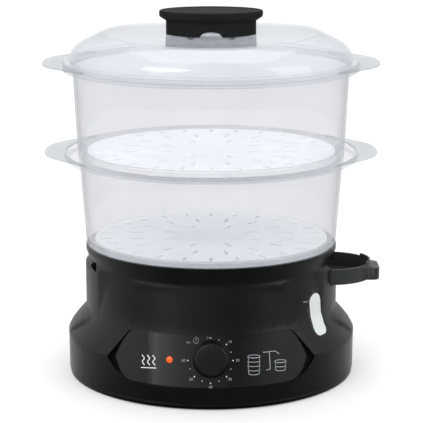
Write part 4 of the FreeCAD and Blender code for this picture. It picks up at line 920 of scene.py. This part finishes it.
# Brightness by compass angle: the angle is the arctangent of x over -y, as a share of the turn into a ramp, whose
# colours are shares of a top brightness.
def compassLight(tree, stops, brightest=2.0):
    apart = addNode(tree, "SeparateXYZ", {"Vector": objectPlace(tree)}).outputs
    angle = mathNode(tree, "ARCTAN2", apart["X"], mathNode(tree, "MULTIPLY", apart["Y"], -1.0))
    ramp = addNode(tree, "ValToRGB", {"Fac": mapNode(tree, angle, (0.0, 1.0), (-math.pi, math.pi))})
    points = ramp.color_ramp.elements
    while len(points) < len(stops):
        points.new(0.5)
    for point, (degrees, level) in zip(points, stops):
        point.position = degrees / 360 + 0.5
        point.color = (*[level / brightest] * 3, 1)
    return mathNode(tree, "MULTIPLY", ramp.outputs["Color"], brightest)


def makeSky():
    world = bpy.data.worlds.new("studioSky")
    bpy.context.scene.world = world
    world.use_nodes = True
    tree = world.node_tree
    tree.nodes.clear()
    white, glossy = rayKinds(tree)
    strength = mapNode(tree, white, (studio["skyStrength"], 1.0))
    height = addNode(tree, "SeparateXYZ", {"Vector": objectPlace(tree)}).outputs["Z"]
    levels = [strength] + [compassLight(tree, stops) for stops in (skyLow, skyMirror)]
    plain, low, high = [addNode(tree, "Background", {"Color": plainWhite, "Strength": level}) for level in levels]
    mirrored = mixNode(tree, mapNode(tree, height, (0.0, 1.0), (0.0, studio["skyBlend"])), low, high)
    addNode(tree, "OutputWorld", {"Surface": mixNode(tree, glossy, plain, mirrored).outputs[0]})


def makeFloor():
    material, tree, shader = newMaterial("paleFloor")
    setNode(tree, shader, {"Base Color": linearColour(studio["floorTone"]), "Roughness": studio["floorRoughness"],
                           "Specular IOR Level": 0.0})
    white, glossy = rayKinds(tree)
    glow = addNode(tree, "Emission", {"Color": plainWhite, "Strength": studio["floorGlow"]})
    both = addNode(tree, "AddShader", {0: shader.outputs["BSDF"], 1: glow.outputs["Emission"]})
    mirrored = addNode(tree, "Emission", {"Color": plainWhite, "Strength": compassLight(tree, floorMirror)})
    whole = mixNode(tree, glossy, mixNode(tree, white, shader, both), mirrored)
    setNode(tree, tree.nodes["Material Output"], {"Surface": whole.outputs[0]})
    half = studio["floorSize"] / 2
    mesh = bpy.data.meshes.new("floor")
    mesh.from_pydata([(-half, -half, 0), (half, -half, 0), (half, half, 0), (-half, half, 0)], [], [(0, 1, 2, 3)])
    mesh.materials.append(material)
    floor = linkObject("floor", mesh)


lamps = {
    "keyPanel": {"place": (-0.9, -1.3, 1.5), "aim": (0, 0, 0.16), "size": (1.0, 1.0), "power": 8.0},
    "fillPanel": {"place": (1.3, -0.8, 0.9), "aim": (0, 0, 0.16), "size": (0.9, 1.2), "power": 4.0},
    "topPanel": {"place": (0.0, 0.3, 1.8), "aim": (0, 0, 0.2), "size": (1.4, 1.4), "power": 5.0},
}


def makeLamps():
    for name, lamp in lamps.items():
        light = bpy.data.lights.new(name, "AREA")
        light.shape = "RECTANGLE"
        light.size, light.size_y = lamp["size"]
        light.energy = lamp["power"]
        holder = linkObject(name, light)
        place, aim = np.array(lamp["place"]), np.array(lamp["aim"])
        holder.location = place
        ahead = (aim - place) / np.linalg.norm(aim - place)
        # A lamp shines along its own -z, so it is tilted from straight down and then turned to its compass way.
        holder.rotation_euler = (math.acos(-ahead[2]), 0, math.atan2(-ahead[0], ahead[1]))


makeSky()
makeFloor()
makeLamps()
bpy.context.scene.view_settings.view_transform = "Standard"
print("studio lit")
